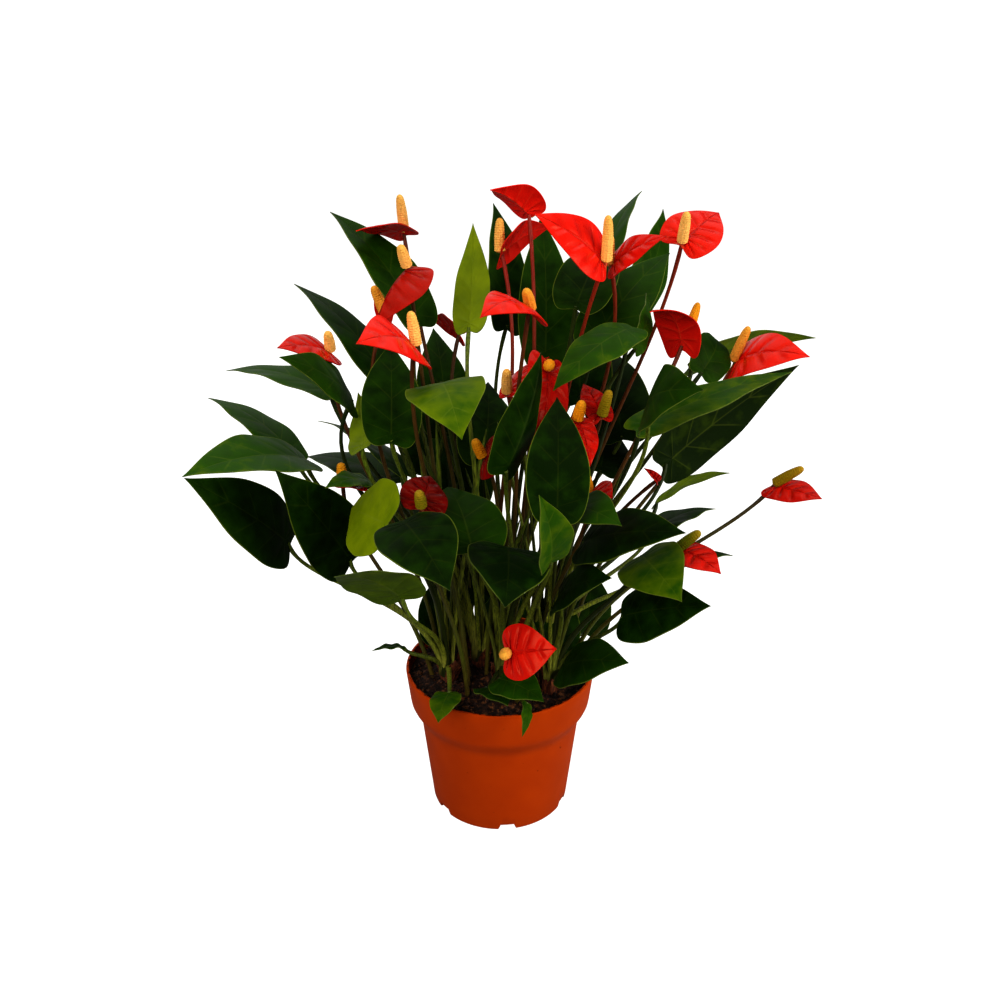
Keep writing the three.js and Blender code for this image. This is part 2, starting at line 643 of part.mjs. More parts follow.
const look = (color, roughness) => new THREE.MeshStandardMaterial({ color, roughness, metalness: 0 });
const LOOKS = {
  pot: look(0xb8400f, 0.45),
  soil: look(0x1c120d, 1),
  leaf: look(0x123d12, 0.3),
  spathe: look(0xcf1410, 0.2),
  spadix: look(0xf0b050, 0.6),
};

const group = new THREE.Group();

function addPiece(name, geometry, material) {
  const piece = new THREE.Mesh(geometry, material);
  piece.name = name;
  group.add(piece);
  return piece;
}

const spathes = FLOWERS.map((row) => placeBlade(row, SPATHE));
const holes = [
  ...Object.values(CROWNS).map(({ stem }) => crownStem(stem, GAP)),
  ...spathes.map(flowerHole),
];

addPiece("pot", geometryOf(potSolid()), LOOKS.pot);
addPiece("soil", geometryOf(soilSolid(holes)), LOOKS.soil);
for (const [place, crown] of Object.entries(CROWNS)) {
  addPiece(`leaves_${place}`, geometryOf(crownSolid(crown)), LOOKS.leaf);
}
spathes.forEach((spathe, i) => {
  const number = String(i + 1).padStart(2, "0");
  addPiece(`flower_${number}`, geometryOf(flowerSolid(spathe)), LOOKS.spathe);
  if (spathe.rod) seatSpadix(addPiece(`spadix_${number}`, spadixGeometry(spathe.size), LOOKS.spadix), spathe);
});

export default group;
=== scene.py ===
import math
import random

import bpy
import numpy as np
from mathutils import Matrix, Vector, noise


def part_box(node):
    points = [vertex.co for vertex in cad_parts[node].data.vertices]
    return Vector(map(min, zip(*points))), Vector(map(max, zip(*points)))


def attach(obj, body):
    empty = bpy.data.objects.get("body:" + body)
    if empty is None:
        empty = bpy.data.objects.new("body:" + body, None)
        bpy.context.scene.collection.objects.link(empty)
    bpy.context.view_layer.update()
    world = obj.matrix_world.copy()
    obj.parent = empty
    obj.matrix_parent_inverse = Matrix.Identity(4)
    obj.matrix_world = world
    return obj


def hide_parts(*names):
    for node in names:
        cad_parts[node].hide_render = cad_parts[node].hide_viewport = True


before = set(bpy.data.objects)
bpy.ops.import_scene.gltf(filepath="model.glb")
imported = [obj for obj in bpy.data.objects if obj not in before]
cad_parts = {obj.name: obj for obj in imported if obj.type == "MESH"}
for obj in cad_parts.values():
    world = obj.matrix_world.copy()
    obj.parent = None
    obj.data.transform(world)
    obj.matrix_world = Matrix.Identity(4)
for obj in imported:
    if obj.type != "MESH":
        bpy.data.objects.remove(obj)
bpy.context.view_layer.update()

bl_info = {
    "name": "Potted anthurium",
    "version": (1, 0, 0),
    "blender": (4, 5, 0),
    "location": "View3D > Sidebar > Anthurium",
    "description": "Grows the leaves, spathes, spadices, peat and pot of a potted anthurium",
    "category": "Add Mesh",
}

MM = 0.001
UP = Vector((0, 0, 1))


def linear(code):
    """An sRGB colour such as #A8380A as linear red, green, blue and alpha."""
    channels = [int(code[i:i + 2], 16) / 255 for i in (1, 3, 5)]
    return [c / 12.92 if c <= 0.04045 else ((c + 0.055) / 1.055) ** 2.4 for c in channels] + [1.0]


# ---- The layout, in millimetres, as it shows from the front ----

# Places are [across, down] in a picture 1000 wide and 1000 high that is taken from here.
EYE = Vector((0, -817, 650))
PITCH = math.radians(23.3)
FOCAL = 1052
PICTURE = 1000
MIDDLE = PICTURE / 2
NEAR, FAR = -1, 1
RIGHTWARD = 0.3  # how much a blade's upper side favours the right over the sky

# What a row leaves out: to, the side that the tip points to; fold, how far the halves rise from
# flat; arch, its height over its length; bow, how far the stalk bends right and back; square, how
# squarely the stalk meets the blade; rod_to, the side that the spadix points to.
USUAL = dict(to=NEAR, fold=4, arch=0.08, bow=(0, 0), square=0.7, rod_to=NEAR)

# Every crown: where its stem stands in the peat, and its leaves. Every leaf: at, where its stalk
# joins the blade in the picture, and y, how deep that point lies; tip and long, the blade's point
# and real length; wide; face, the angle that its upper side turns from the viewpoint towards the
# sky; tone, from a dark leaf (0) to a fresh yellow-green one (1): the leaf's age, together with
# painted shade on leaves that lie in shadow.
CROWNS = {
    "left": ((-46, -14), [
        dict(at=(288, 543), y=-20, tip=(184, 478), long=122, wide=62, face=30, arch=0.05,
             tone=0.15),
        dict(at=(350, 560), y=-29, tip=(275, 470), long=122, wide=60,
             face=20, arch=0.05, bow=(-3, -6), tone=0.06),
        dict(at=(386, 524), y=-105, tip=(352, 508), long=80, to=FAR, wide=64, face=0, arch=0.05,
             tone=0.93),
        dict(at=(402, 598), y=-85, tip=(334, 577), long=85, wide=60, face=115, tone=0.45),
        dict(at=(404, 522), y=-120, tip=(450, 591), long=80, wide=58, face=18, tone=0.03),
        dict(at=(449, 693), y=-74, tip=(438, 723), long=36, wide=26, face=25, tone=0.6),
        dict(at=(403, 647), y=-30, tip=(372, 651), long=30, wide=9, face=60, tone=0.2),
    ]),
    "back_left": ((-34, 40), [
        dict(at=(352, 400), y=1, tip=(279, 357), long=95, wide=46, face=56, fold=0, bow=(-30, 0),
             tone=0.4),
        dict(at=(330, 393), y=44, tip=(226, 371), long=110, to=FAR, wide=44, face=68, fold=6,
             tone=0.45),
        dict(at=(294, 455), y=40, tip=(208, 398), long=110, to=FAR, wide=46, face=62, fold=2,
             tone=0.45),
        dict(at=(304, 459), y=-15, tip=(182, 477), long=120, wide=58, face=54, fold=8, tone=0.5),
        dict(at=(402, 472), y=36, tip=(318, 421), long=110, to=FAR, wide=40, face=74, tone=0.12),
        dict(at=(392, 482), y=65, tip=(306, 457), long=105, to=FAR, wide=54, face=60, tone=0.1),
        dict(at=(368, 480), y=-30, tip=(325, 488), long=46, wide=26, face=56, tone=0.55),
    ]),
    "middle_left": ((-18, 8), [
        dict(at=(418, 322), y=42, tip=(330, 212), long=128, to=FAR, wide=56,
             face=50, fold=14, bow=(-10, 2), tone=0.2),
        dict(at=(388, 384), y=25, tip=(294, 284), long=125, to=FAR, wide=52, face=60, tone=0.18),
        dict(at=(446, 432), y=62, tip=(433, 328), long=110, to=FAR,
             wide=52, face=20, bow=(-20, -20), tone=0.15),
        dict(at=(469, 328), y=20, tip=(473, 223), long=95, to=FAR, wide=32,
             face=160, arch=0.04, bow=(14, 0), tone=0.84),
        dict(at=(391, 440), y=-60, tip=(390, 343), long=95, to=FAR, wide=48, face=8, arch=0.06,
             tone=0.1),
        dict(at=(441, 383), y=-75, tip=(462, 440), long=70, wide=58,
             face=10, arch=0.16, bow=(0, 20), tone=0.66),
        dict(at=(362, 448), y=-50, tip=(358, 392), long=75, to=FAR, wide=28,
             face=150, arch=0.06, bow=(0, 12), tone=0.8),
    ]),
    "front": ((2, -22), [
        dict(at=(472, 550), y=-103, tip=(448, 487), long=90, to=FAR, wide=64,
             face=24, fold=10, bow=(6, 17), tone=0.26),
        dict(at=(508, 548), y=-105, tip=(505, 608), long=75, wide=62, face=10, tone=0),
        dict(at=(506, 471), y=-104, tip=(541, 352), long=93, to=FAR, wide=36,
             face=36, fold=-26, bow=(19, -2), tone=0.06),
        dict(at=(557, 515), y=-134, tip=(557, 397), long=104, to=FAR, wide=47, face=8, arch=0.06,
             tone=0),
        dict(at=(550, 562), y=-155, tip=(539, 495), long=66, wide=36,
             face=40, fold=20, bow=(33, 0), tone=0.55),
        dict(at=(566, 508), y=-75, tip=(622, 526), long=80, wide=42, face=40, tone=0.4),
        dict(at=(500, 679), y=-80, tip=(544, 702), long=46, wide=38, face=40, tone=0.3),
        dict(at=(486, 688), y=-66, tip=(508, 706), long=36, wide=32, face=50, tone=0.3),
        dict(at=(527, 704), y=-84, tip=(522, 737), long=32, wide=10, face=30, tone=0.5),
    ]),
    "back": ((6, 44), [
        dict(at=(507, 325), y=115, tip=(493, 203), long=130, to=FAR, wide=46, face=40, tone=0.1),
        dict(at=(545, 360), y=80, tip=(541, 214), long=145, to=FAR, wide=52, face=20, arch=0.05,
             tone=0.16),
        dict(at=(576, 306), y=45, tip=(610, 240), long=90, to=FAR, wide=52, face=20, tone=0.06),
        dict(at=(605, 270), y=162, tip=(642, 191), long=105, to=FAR,
             wide=36, face=60, bow=(-11, 14), tone=0.42),
        dict(at=(632, 310), y=130, tip=(663, 209), long=120, to=FAR, wide=46, face=45, tone=0.3),
        dict(at=(594, 342), y=60, tip=(670, 253), long=118, to=FAR, wide=56, face=30, tone=0.3),
        dict(at=(580, 400), y=72, tip=(574, 308), long=120, to=FAR,
             wide=60, face=10, bow=(2, 2), tone=0.02),
        dict(at=(622, 436), y=76, tip=(603, 345), long=120, to=FAR, wide=62, face=10, tone=0.02),
        dict(at=(484, 462), y=30, tip=(488, 382), long=95, to=FAR, wide=54, face=12, tone=0.03),
    ]),
    "right": ((40, 20), [
        dict(at=(636, 348), y=14, tip=(646, 293), long=66, to=FAR, wide=22, face=60, tone=0.42),
        dict(at=(702, 372), y=40, tip=(711, 338), long=60, to=FAR, wide=38, face=30, arch=0.2,
             tone=0.2),
        dict(at=(692, 366), y=95, tip=(816, 338), long=125, to=FAR, wide=40, face=120, tone=0.55),
        dict(at=(646, 410), y=-57, tip=(704, 390), long=78, wide=54, face=42, fold=0, arch=0.16,
             tone=0.22),
        dict(at=(640, 428), y=-27, tip=(792, 372), long=140, to=FAR,
             wide=52, face=62, arch=0.04, tone=0.56),
        dict(at=(666, 464), y=42, tip=(799, 365), long=150, to=FAR, wide=62, face=140, arch=0.04,
             tone=0),
        dict(at=(657, 502), y=85, tip=(730, 473), long=90, to=FAR, wide=26, face=112, tone=0.6),
        dict(at=(652, 532), y=75, tip=(716, 509), long=85, to=FAR, wide=40, face=68, tone=0.12),
        dict(at=(656, 566), y=50, tip=(733, 556), long=90, to=FAR, wide=36, face=64, tone=0.1),
    ]),
    "front_right": ((44, -30), [
        dict(at=(630, 328), y=10, tip=(553, 391), long=92, wide=46,
             face=45, fold=0, bow=(-6, 0), tone=0.48),
        dict(at=(584, 542), y=-45, tip=(686, 533), long=112, wide=56,
             face=44, fold=0, arch=0.06, tone=0.03),
        dict(at=(642, 556), y=-60, tip=(682, 602), long=78, wide=54, face=10, tone=0.62),
        dict(at=(558, 598), y=-50, tip=(612, 578), long=80, wide=46, face=50, tone=0.1),
        dict(at=(623, 616), y=-60, tip=(711, 606), long=84, wide=54, face=30, fold=0, arch=0.05,
             tone=0.08),
        dict(at=(563, 666), y=-62, tip=(629, 663), long=72, wide=50, face=40, fold=0, tone=0.22),
    ]),
}
# Dark leaves deep inside the crowns, put where the foliage lies in shadow: their dark tone is
# painted shade, and they close the gaps between the stalks behind the others.
SHADOW_LEAVES = {
    "back": [
        dict(at=(462, 505), y=55, tip=(450, 410), long=105, to=FAR, wide=64, face=14, tone=0.04),
        dict(at=(434, 470), y=78, tip=(424, 395), long=95, to=FAR, wide=58, face=14, tone=0.02),
        dict(at=(503, 640), y=66, tip=(500, 562), long=90, to=FAR, wide=54, face=12, tone=0.02),
    ],
    "middle_left": [
        dict(at=(468, 600), y=18, tip=(460, 530), long=80, to=FAR, wide=50, face=14, tone=0.05),
    ],
    "left": [
        dict(at=(440, 642), y=8, tip=(436, 578), long=72, to=FAR, wide=42, face=16, tone=0.08),
    ],
    "back_left": [
        dict(at=(416, 552), y=62, tip=(408, 496), long=76, to=FAR, wide=48, face=20, tone=0.06),
    ],
    "front_right": [
        dict(at=(554, 652), y=-8, tip=(556, 586), long=74, to=FAR, wide=46, face=16, tone=0.04),
    ],
    "right": [
        dict(at=(586, 632), y=56, tip=(590, 566), long=76, to=FAR, wide=46, face=18, tone=0.04),
        dict(at=(600, 470), y=58, tip=(606, 424), long=70, to=FAR, wide=50, face=16, tone=0.03),
    ],
}
# Every flower has the same words for its spathe, with stem, where its stalk stands; rod and size,
# the tip of the spadix and its real length; shade, from dark to bright red: painted shade on
# spathes that lie in shadow, together with each spathe's own red; flush, how red its stalk is;
# ripe, from green (0) to cream (1). The last one is a bud.
FLOWERS = [
    dict(stem=(-24, 24), at=(404, 234), y=90, tip=(356, 231), long=50, wide=37, face=104,
         rod=(399, 197), size=36, shade=0.72, flush=0.4, ripe=1),
    dict(stem=(-25, -14), at=(408, 268), y=-2, tip=(376, 327), long=58, wide=46, face=60, fold=-35,
         rod=(401, 247), size=21, bow=(-28, 6), shade=0.33, flush=0.2, ripe=0.9),
    dict(stem=(-40, 10), at=(384, 317), y=15, tip=(376, 281), long=42, to=FAR, wide=20, face=50,
         rod=(371, 287), size=28, bow=(-17, -26), shade=0.5, flush=0.3, ripe=0.6),
    dict(stem=(-28, -26), at=(414, 348), y=-70, tip=(356, 344), long=56, wide=52, face=54,
         arch=0.16, rod=(408, 313), size=27, shade=0.85, flush=0.2, ripe=0.95),
    dict(stem=(-4, 26), at=(502, 254), y=56, tip=(550, 227), long=56, to=FAR, wide=44, face=120,
         lobe=1.4, rod=(502, 219), size=28, bow=(-8, -6), shade=0.8, flush=0.9, ripe=0.85),
    dict(stem=(22, 6), at=(604, 263), y=0, tip=(534, 214), long=70, wide=46, face=45, lobe=1.2,
         rod=(606, 216), size=38, bow=(14, 0), shade=0.85, flush=0.8, ripe=0.9),
    dict(stem=(30, 34), at=(611, 267), y=25, tip=(667, 236), long=58, wide=30, face=50,
         lobe=1, rod=(613, 234), size=24, shade=0.75, flush=0.6, ripe=0.85),
    dict(stem=(4, 28), at=(529, 215), y=60, tip=(490, 190), long=48, wide=42, face=127, fold=28,
         rod=(537, 203), size=18, rod_to=FAR, bow=(20, 0), shade=0.95, flush=0.9, ripe=0.8),
    dict(stem=(38, 36), at=(682, 243), y=45, tip=(719, 213), long=54, to=FAR, wide=48, face=28,
         rod=(687, 213), size=31, bow=(11, 5), shade=0.8, flush=0.6, ripe=1),
    dict(stem=(4, 10), at=(529, 311), y=-40, tip=(480, 318), long=54, wide=44, face=60, fold=0,
         arch=0.2, rod=(524, 292), size=24, shade=0.85, flush=0.3, ripe=0.6),
    dict(stem=(-14, 30), at=(459, 334), y=70, tip=(431, 320), long=36, to=FAR, wide=32,
         face=118, rod=(461, 314), size=20, shade=0.6, flush=0.15, ripe=0.5),
    dict(stem=(-54, 6), at=(329, 352), y=18, tip=(277, 348), long=52, wide=38, face=58,
         rod=(326, 334), size=22, shade=0.7, flush=0.3, ripe=1),
    dict(stem=(0, -4), at=(508, 394), y=-10, tip=(549, 357), long=58, to=FAR, wide=28, face=66,
         lobe=0.8, rod=(508, 371), size=24, bow=(4, -4), shade=0.6, flush=0.3, ripe=0.9),
    dict(stem=(26, -4), at=(548, 366), y=-12, tip=(532, 469), long=90, wide=40, face=30,
         rod=(546, 369), size=17, shade=0.5, flush=0.2, ripe=0.5),
    dict(stem=(56, 16), at=(682, 346), y=31, tip=(650, 312), long=50, wide=42, face=125, arch=0.26,
         rod=(697, 303), size=42, rod_to=FAR, bow=(-3, -3), shade=0.68, flush=0.4, ripe=0.45),
    dict(stem=(62, 26), at=(735, 363), y=68, tip=(810, 357), long=72, wide=50, face=46, arch=0.14,
         rod=(751, 328), size=36, bow=(5, 30), shade=0.9, flush=0.3, ripe=0.65),
    dict(stem=(60, -8), at=(774, 486), y=20, tip=(822, 499), long=48, wide=34, face=50, fold=0,
         arch=0.02, rod=(804, 470), size=30, square=0.1, shade=0.6, flush=0.05, ripe=0.1),
    dict(stem=(60, -22), at=(678, 551), y=-60, tip=(721, 574), long=46, wide=38, face=48,
         rod=(701, 534), size=24, shade=0.65, flush=0.2, ripe=0),
    dict(stem=(10, -50), at=(508, 653), y=-124, tip=(557, 649), long=41, wide=43, face=4,
         rod=(505, 656), size=16, bow=(20, 0), shade=0.75, flush=0.3, ripe=0.7),
    dict(stem=(-12, -10), at=(485, 458), y=-35, tip=(513, 457), long=34, wide=38, face=20,
         rod=(476, 440), size=18, shade=0.1, flush=0.1, ripe=0.4),
    dict(stem=(-28, -40), at=(421, 508), y=-91, tip=(430, 476), long=38, to=FAR, wide=38,
         face=10, rod=(418, 492), size=16, shade=0.05, flush=0.1, ripe=0.05),
    dict(stem=(24, -20), at=(577, 421), y=-60, tip=(590, 467), long=42, wide=26, face=30,
         rod=(582, 402), size=18, shade=0.6, flush=0.2, ripe=0.5),
    dict(stem=(28, 14), at=(601, 417), y=-20, tip=(583, 384), long=40, to=FAR, wide=24,
         face=30, rod=(609, 391), size=24, shade=0.34, flush=0.2, ripe=0.08),
    dict(stem=(30, -12), at=(590, 494), y=-40, tip=(613, 498), long=34, wide=32, face=40,
         rod=(588, 476), size=16, bow=(-6, 0), shade=0.7, flush=0.2, ripe=0.4),
    dict(stem=(-58, -10), at=(343, 484), y=-23, tip=(368, 492), long=32, wide=24, face=66,
         rod=(341, 464), size=17, bow=(-18, 20), shade=0.4, flush=0.2, ripe=0.4),
    dict(stem=(52, 36), at=(656, 481), y=10, tip=(644, 468), long=20, wide=12,
         face=30, fold=50, shade=0.4, flush=0.2),
]

# How a half blade runs from the notch at the stalk to the point, in powers of the way along it.
MARGIN = dict(run=1.3, shift=0.85, full=0.7, sharp=0.4, hook=4, lag=1.7)
BLADE = dict(lobe=1.2, notch=0.03, fan=0.05, fan_end=0.3, cup=0.03, wave=1.0, waves=3, puff=0.22,
             ribs=6)
SPATHE = dict(lobe=2, notch=0.05, fan=0.08, fan_end=0.32, cup=0.05, wave=0.8, waves=2, puff=0.8,
              ribs=6)
# How a stalk rises, and where along it its sheath ends and its knee lies.
STALK = dict(depth=14, rise=0.4, lean=0.05, bend=0.3, sheath_end=0.06, knee=0.96, knee_half=0.03,
             points=34, sides=10)
CROWN = dict(radius=7.5, shoulder=6, rise=10, spread=4, sides=14)
# Young rolled leaves and dry bracts: from which height to which, and from which lean to which.
SHOOT = dict(height=(110, 250), lean=(0.08, 0.38), stray=0.5, ring=3, points=26, sides=8)
# The thickness of a rolled leaf along its stalk: places along it, and radii.
SPEAR = ((0, 0.1, 0.7, 0.82, 0.94, 1), (3.2, 1.9, 1.2, 2.1, 1.3, 0.3))
BRACT = dict(height=(16, 34), lean=(0.1, 0.5), stray=0.4, half=5.5, curl=0.6, thickness=0.4)
NEXT_TURN = 2.4  # from one shoot or bract to the next, in radians: nearly the golden angle
DARK_STALKS = 1.6  # the larger, the fewer of a crown's stalks are pale
CROWDED = 1.2  # how much closer the rows of a blade's grid stand near its notch
# The spadix: its florets stand in crossing spirals, one every pitch along it.
FLORETS = dict(spirals=5, pitch=1.9, relief=0.17, points=80, sides=40, crowded=0.9, bend=0.012,
               gap=0.3, blunt=14)

# The pot, in metres: where its wall begins to swing out to the band, how far in and down its
# rounded rim runs, how deep its lip is, and how far a cutter reaches past what it cuts.
POT_SIDES, ROUNDING, SWING, ROLL_START, PAST = 128, 0.0004, 0.003, 0.0016, 0.001
ROLL = ((0.0004, 0.0006), (0.0012, 0.0))
LIP_DEPTH, LIP_BEVEL = 0.0035, 0.0006
# The peat, in metres: its play in the pot, and how lumpy its top is.
PEAT = dict(sides=96, play=0.0004, bevel=0.002, lumps=90, lift=0.0035, fade=0.006, sunk=0.001)
# Crumbs, as shares of their size, apart from how deep they lie. A few are drawn out to fibres.
CRUMB = dict(spread=0.97, size=(0.25, 1), stretch=(0.6, 1.5), lumps=0.3, fibres=0.12,
             fibre=(4.5, 0.35, 0.35), sunk=0.0004)

FLOOR_SIZE = 8
# Where the lights stand, in metres, how wide they are, and which setting holds their power.
LIGHTS = (
    ("Key light", (-0.8, -1.5, 1.3), 1.3, "key"),
    ("Fill light", (1.5, -0.6, 0.8), 1.2, "fill"),
    ("Back light", (-0.4, 1.7, 0.9), 1.6, "back"),
    ("Top light", (0.0, 0.6, 3.2), 4.0, "top"),
)
LIT_PLACE = Vector((0, 0, 0.28))
SENSOR = 36


def sight_line(place):
    """The direction in which a place of the picture is seen."""
    rise = (MIDDLE - place[1]) / FOCAL
    return Vector((
        (place[0] - MIDDLE) / FOCAL,
        math.cos(PITCH) + rise * math.sin(PITCH),
        rise * math.cos(PITCH) - math.sin(PITCH),
    ))


def seen_at(place, y):
    """The point seen at a place in the picture, on the plane that lies at depth y."""
    line = sight_line(place)
    return EYE + line * ((y - EYE.y) / line.y)


def seen_from(start, place, distance, side):
    """The point seen at a place in the picture that lies the given distance from another point."""
    line = sight_line(place).normalized()
    reach = start - EYE
    nearest = reach.dot(line)
    miss = reach.length_squared - nearest * nearest
    return EYE + line * (nearest + side * math.sqrt(max(0, distance * distance - miss)))


def place_blade(row, form):
    """A blade with its own frame: along its midrib, out of its upper face, and to the side."""
    blade = {**USUAL, **row, "form": {**form, "lobe": row.get("lobe", form["lobe"])}}
    joint = seen_at(blade["at"], blade["y"])
    tip = seen_from(joint, blade["tip"], blade["long"], blade["to"])
    along = (tip - joint).normalized()
    facing = EYE - joint
    facing = (facing - along * facing.dot(along)).normalized()
    upward = along.cross(facing)
    if upward.z + RIGHTWARD * upward.x < 0:
        upward.negate()
    turn = math.radians(blade["face"])
    out = facing * math.cos(turn) + upward * math.sin(turn)
    return {**blade, "joint": joint, "along": along, "out": out, "side": along.cross(out),
            "length": (tip - joint).length}


def soil_level(x, y, sizes):
    """The height of the peat at a place, in millimetres: it is mounded up in the middle."""
    share = min(1, math.hypot(x, y) / (sizes.collar_radius / MM))
    return (sizes.peat_edge + sizes.peat_mound * (1 - share * share)) / MM


# ---- What a user would change ----

class PotSizes(bpy.types.PropertyGroup):
    """Sizes and colours of the pot and the peat in it."""
    rim_radius: bpy.props.FloatProperty(
        name="Rim radius", description="Outside radius at the rim", default=0.085, unit="LENGTH")
    height: bpy.props.FloatProperty(
        name="Height", description="Height of the pot", default=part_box("pot")[1].z, unit="LENGTH")
    foot_radius: bpy.props.FloatProperty(
        name="Foot radius", description="Outside radius at the foot", default=0.0625, unit="LENGTH")
    foot_round: bpy.props.FloatProperty(
        name="Foot rounding", description="Radius of the edge under the wall", default=0.003,
        unit="LENGTH")
    wall: bpy.props.FloatProperty(
        name="Wall", description="Thickness of the wall", default=0.0018, unit="LENGTH")
    floor: bpy.props.FloatProperty(
        name="Floor", description="Thickness of the floor", default=0.0025, unit="LENGTH")
    lip: bpy.props.FloatProperty(
        name="Lip", description="How far the rolled lip stands in from the rim", default=0.003,
        unit="LENGTH")
    collar_height: bpy.props.FloatProperty(
        name="Band height", description="Height of the upright band under the rim", default=0.030,
        unit="LENGTH")
    collar_radius: bpy.props.FloatProperty(
        name="Band radius", description="Outside radius at the band's lower edge", default=0.0815,
        unit="LENGTH")
    shoulder_height: bpy.props.FloatProperty(
        name="Shoulder height", description="Where the band has run in to the tapered wall",
        default=0.089, unit="LENGTH")
    shoulder_radius: bpy.props.FloatProperty(
        name="Shoulder radius", description="Outside radius at the shoulder", default=0.0724,
        unit="LENGTH")
    notches: bpy.props.IntProperty(
        name="Drain notches", description="Notches cut up into the foot", default=6, min=3, max=12)
    notch_width: bpy.props.FloatProperty(
        name="Notch width", description="Width of a drain notch at the bottom", default=0.018,
        unit="LENGTH")
    notch_height: bpy.props.FloatProperty(
        name="Notch height", description="Height of a drain notch", default=0.007, unit="LENGTH")
    notch_depth: bpy.props.FloatProperty(
        name="Notch depth", description="How far a drain notch runs in", default=0.016,
        unit="LENGTH")
    notch_turn: bpy.props.FloatProperty(
        name="Notch turn", description="Turn of the first notch from the front",
        default=math.radians(6), subtype="ANGLE")
    peat_edge: bpy.props.FloatProperty(
        name="Peat edge", description="Height of the peat at the wall", default=0.128,
        unit="LENGTH")
    peat_mound: bpy.props.FloatProperty(
        name="Peat mound", description="How much higher the peat lies in the middle", default=0.006,
        unit="LENGTH")
    crumb: bpy.props.FloatProperty(
        name="Crumb", description="Radius of the largest crumbs", default=0.0026, unit="LENGTH")
    crumbs: bpy.props.IntProperty(
        name="Crumbs", description="Loose crumbs on the peat", default=900, min=0, max=2000)
    plastic: bpy.props.FloatVectorProperty(
        name="Plastic", description="Colour of the pot", subtype="COLOR", size=3, min=0, max=1,
        default=linear("#AC3B03")[:3])
    peat: bpy.props.FloatVectorProperty(
        name="Peat", description="Colour of the damp peat", subtype="COLOR", size=3, min=0, max=1,
        default=linear("#2A1307")[:3])


class LeafSizes(bpy.types.PropertyGroup):
    """Sizes and colours of the leaves."""
    thickness: bpy.props.FloatProperty(
        name="Thickness", description="Thickness of a blade", default=0.0007, unit="LENGTH")
    foot: bpy.props.FloatProperty(
        name="Stalk foot", description="Radius of a leaf stalk at its foot", default=0.0027,
        unit="LENGTH")
    top: bpy.props.FloatProperty(
        name="Stalk top", description="Radius of a leaf stalk under the blade", default=0.0015,
        unit="LENGTH")
    bracts: bpy.props.IntProperty(
        name="Bracts", description="Dry brown bracts at the foot of each crown", default=4, min=0,
        max=9)
    shoots: bpy.props.IntProperty(
        name="Shoots", description="Young rolled leaves in each crown", default=6, min=0, max=12)
    old: bpy.props.FloatVectorProperty(
        name="Old leaf", description="Colour of the darkest leaves", subtype="COLOR", size=3, min=0,
        max=1, default=linear("#041600")[:3])
    grown: bpy.props.FloatVectorProperty(
        name="Grown leaf", description="Colour between dark and fresh leaves", subtype="COLOR",
        size=3,
        min=0, max=1, default=linear("#244503")[:3])
    fresh: bpy.props.FloatVectorProperty(
        name="Fresh leaf", description="Colour of the youngest leaves", subtype="COLOR", size=3,
        min=0,
        max=1, default=linear("#6C7A05")[:3])
    pale: bpy.props.FloatVectorProperty(
        name="Ribs and edge", description="Colour of the ribs and of the thin edge",
        subtype="COLOR",
        size=3, min=0, max=1, default=linear("#74802A")[:3])
    stalk: bpy.props.FloatVectorProperty(
        name="Leaf stalk", description="Colour of the leaf stalks", subtype="COLOR", size=3, min=0,
        max=1, default=linear("#84882A")[:3])


class FlowerSizes(bpy.types.PropertyGroup):
    """Sizes and colours of the flowers."""
    thickness: bpy.props.FloatProperty(
        name="Thickness", description="Thickness of a spathe", default=0.0008, unit="LENGTH")
    foot: bpy.props.FloatProperty(
        name="Stalk foot", description="Radius of a flower stalk at its foot", default=0.0021,
        unit="LENGTH")
    top: bpy.props.FloatProperty(
        name="Stalk top", description="Radius of a flower stalk under the spathe", default=0.0015,
        unit="LENGTH")
    rod_foot: bpy.props.FloatProperty(
        name="Spadix foot", description="Radius of a spadix at its foot", default=0.0015,
        unit="LENGTH")
    rod_radius: bpy.props.FloatProperty(
        name="Spadix radius", description="Largest radius of a spadix", default=0.0044,
        unit="LENGTH")
    rod_tip: bpy.props.FloatProperty(
        name="Spadix tip", description="Radius of a spadix near its tip", default=0.0032,
        unit="LENGTH")
    red: bpy.props.FloatVectorProperty(
        name="Red", description="Colour of a bright spathe", subtype="COLOR", size=3, min=0, max=1,
        default=linear("#DC180A")[:3])
    dark_red: bpy.props.FloatVectorProperty(
        name="Dark red", description="Colour of a dark spathe and of the backs", subtype="COLOR",
        size=3,
        min=0, max=1, default=linear("#5E0403")[:3])
    stalk_red: bpy.props.FloatVectorProperty(
        name="Flower stalk", description="Colour of the flower stalks near the spathe",
        subtype="COLOR",
        size=3, min=0, max=1, default=linear("#6E220A")[:3])


class StageLooks(bpy.types.PropertyGroup):
    """Floor, lights and background."""
    floor: bpy.props.FloatVectorProperty(
        name="Floor", description="Colour of the floor", subtype="COLOR", size=3, min=0, max=1,
        default=linear("#959491")[:3])
    key: bpy.props.FloatProperty(
        name="Key light", description="Power of the large soft light", default=27, unit="POWER")
    fill: bpy.props.FloatProperty(
        name="Fill light", description="Power of the light from the right", default=26,
        unit="POWER")
    top: bpy.props.FloatProperty(
        name="Top light", description="Power of the light from above", default=62, unit="POWER")
    back: bpy.props.FloatProperty(
        name="Back light", description="Power of the light from behind", default=5, unit="POWER")
    air: bpy.props.FloatProperty(
        name="Surroundings", description="Brightness of the room in reflections", default=0.12)


# ---- Small tools ----

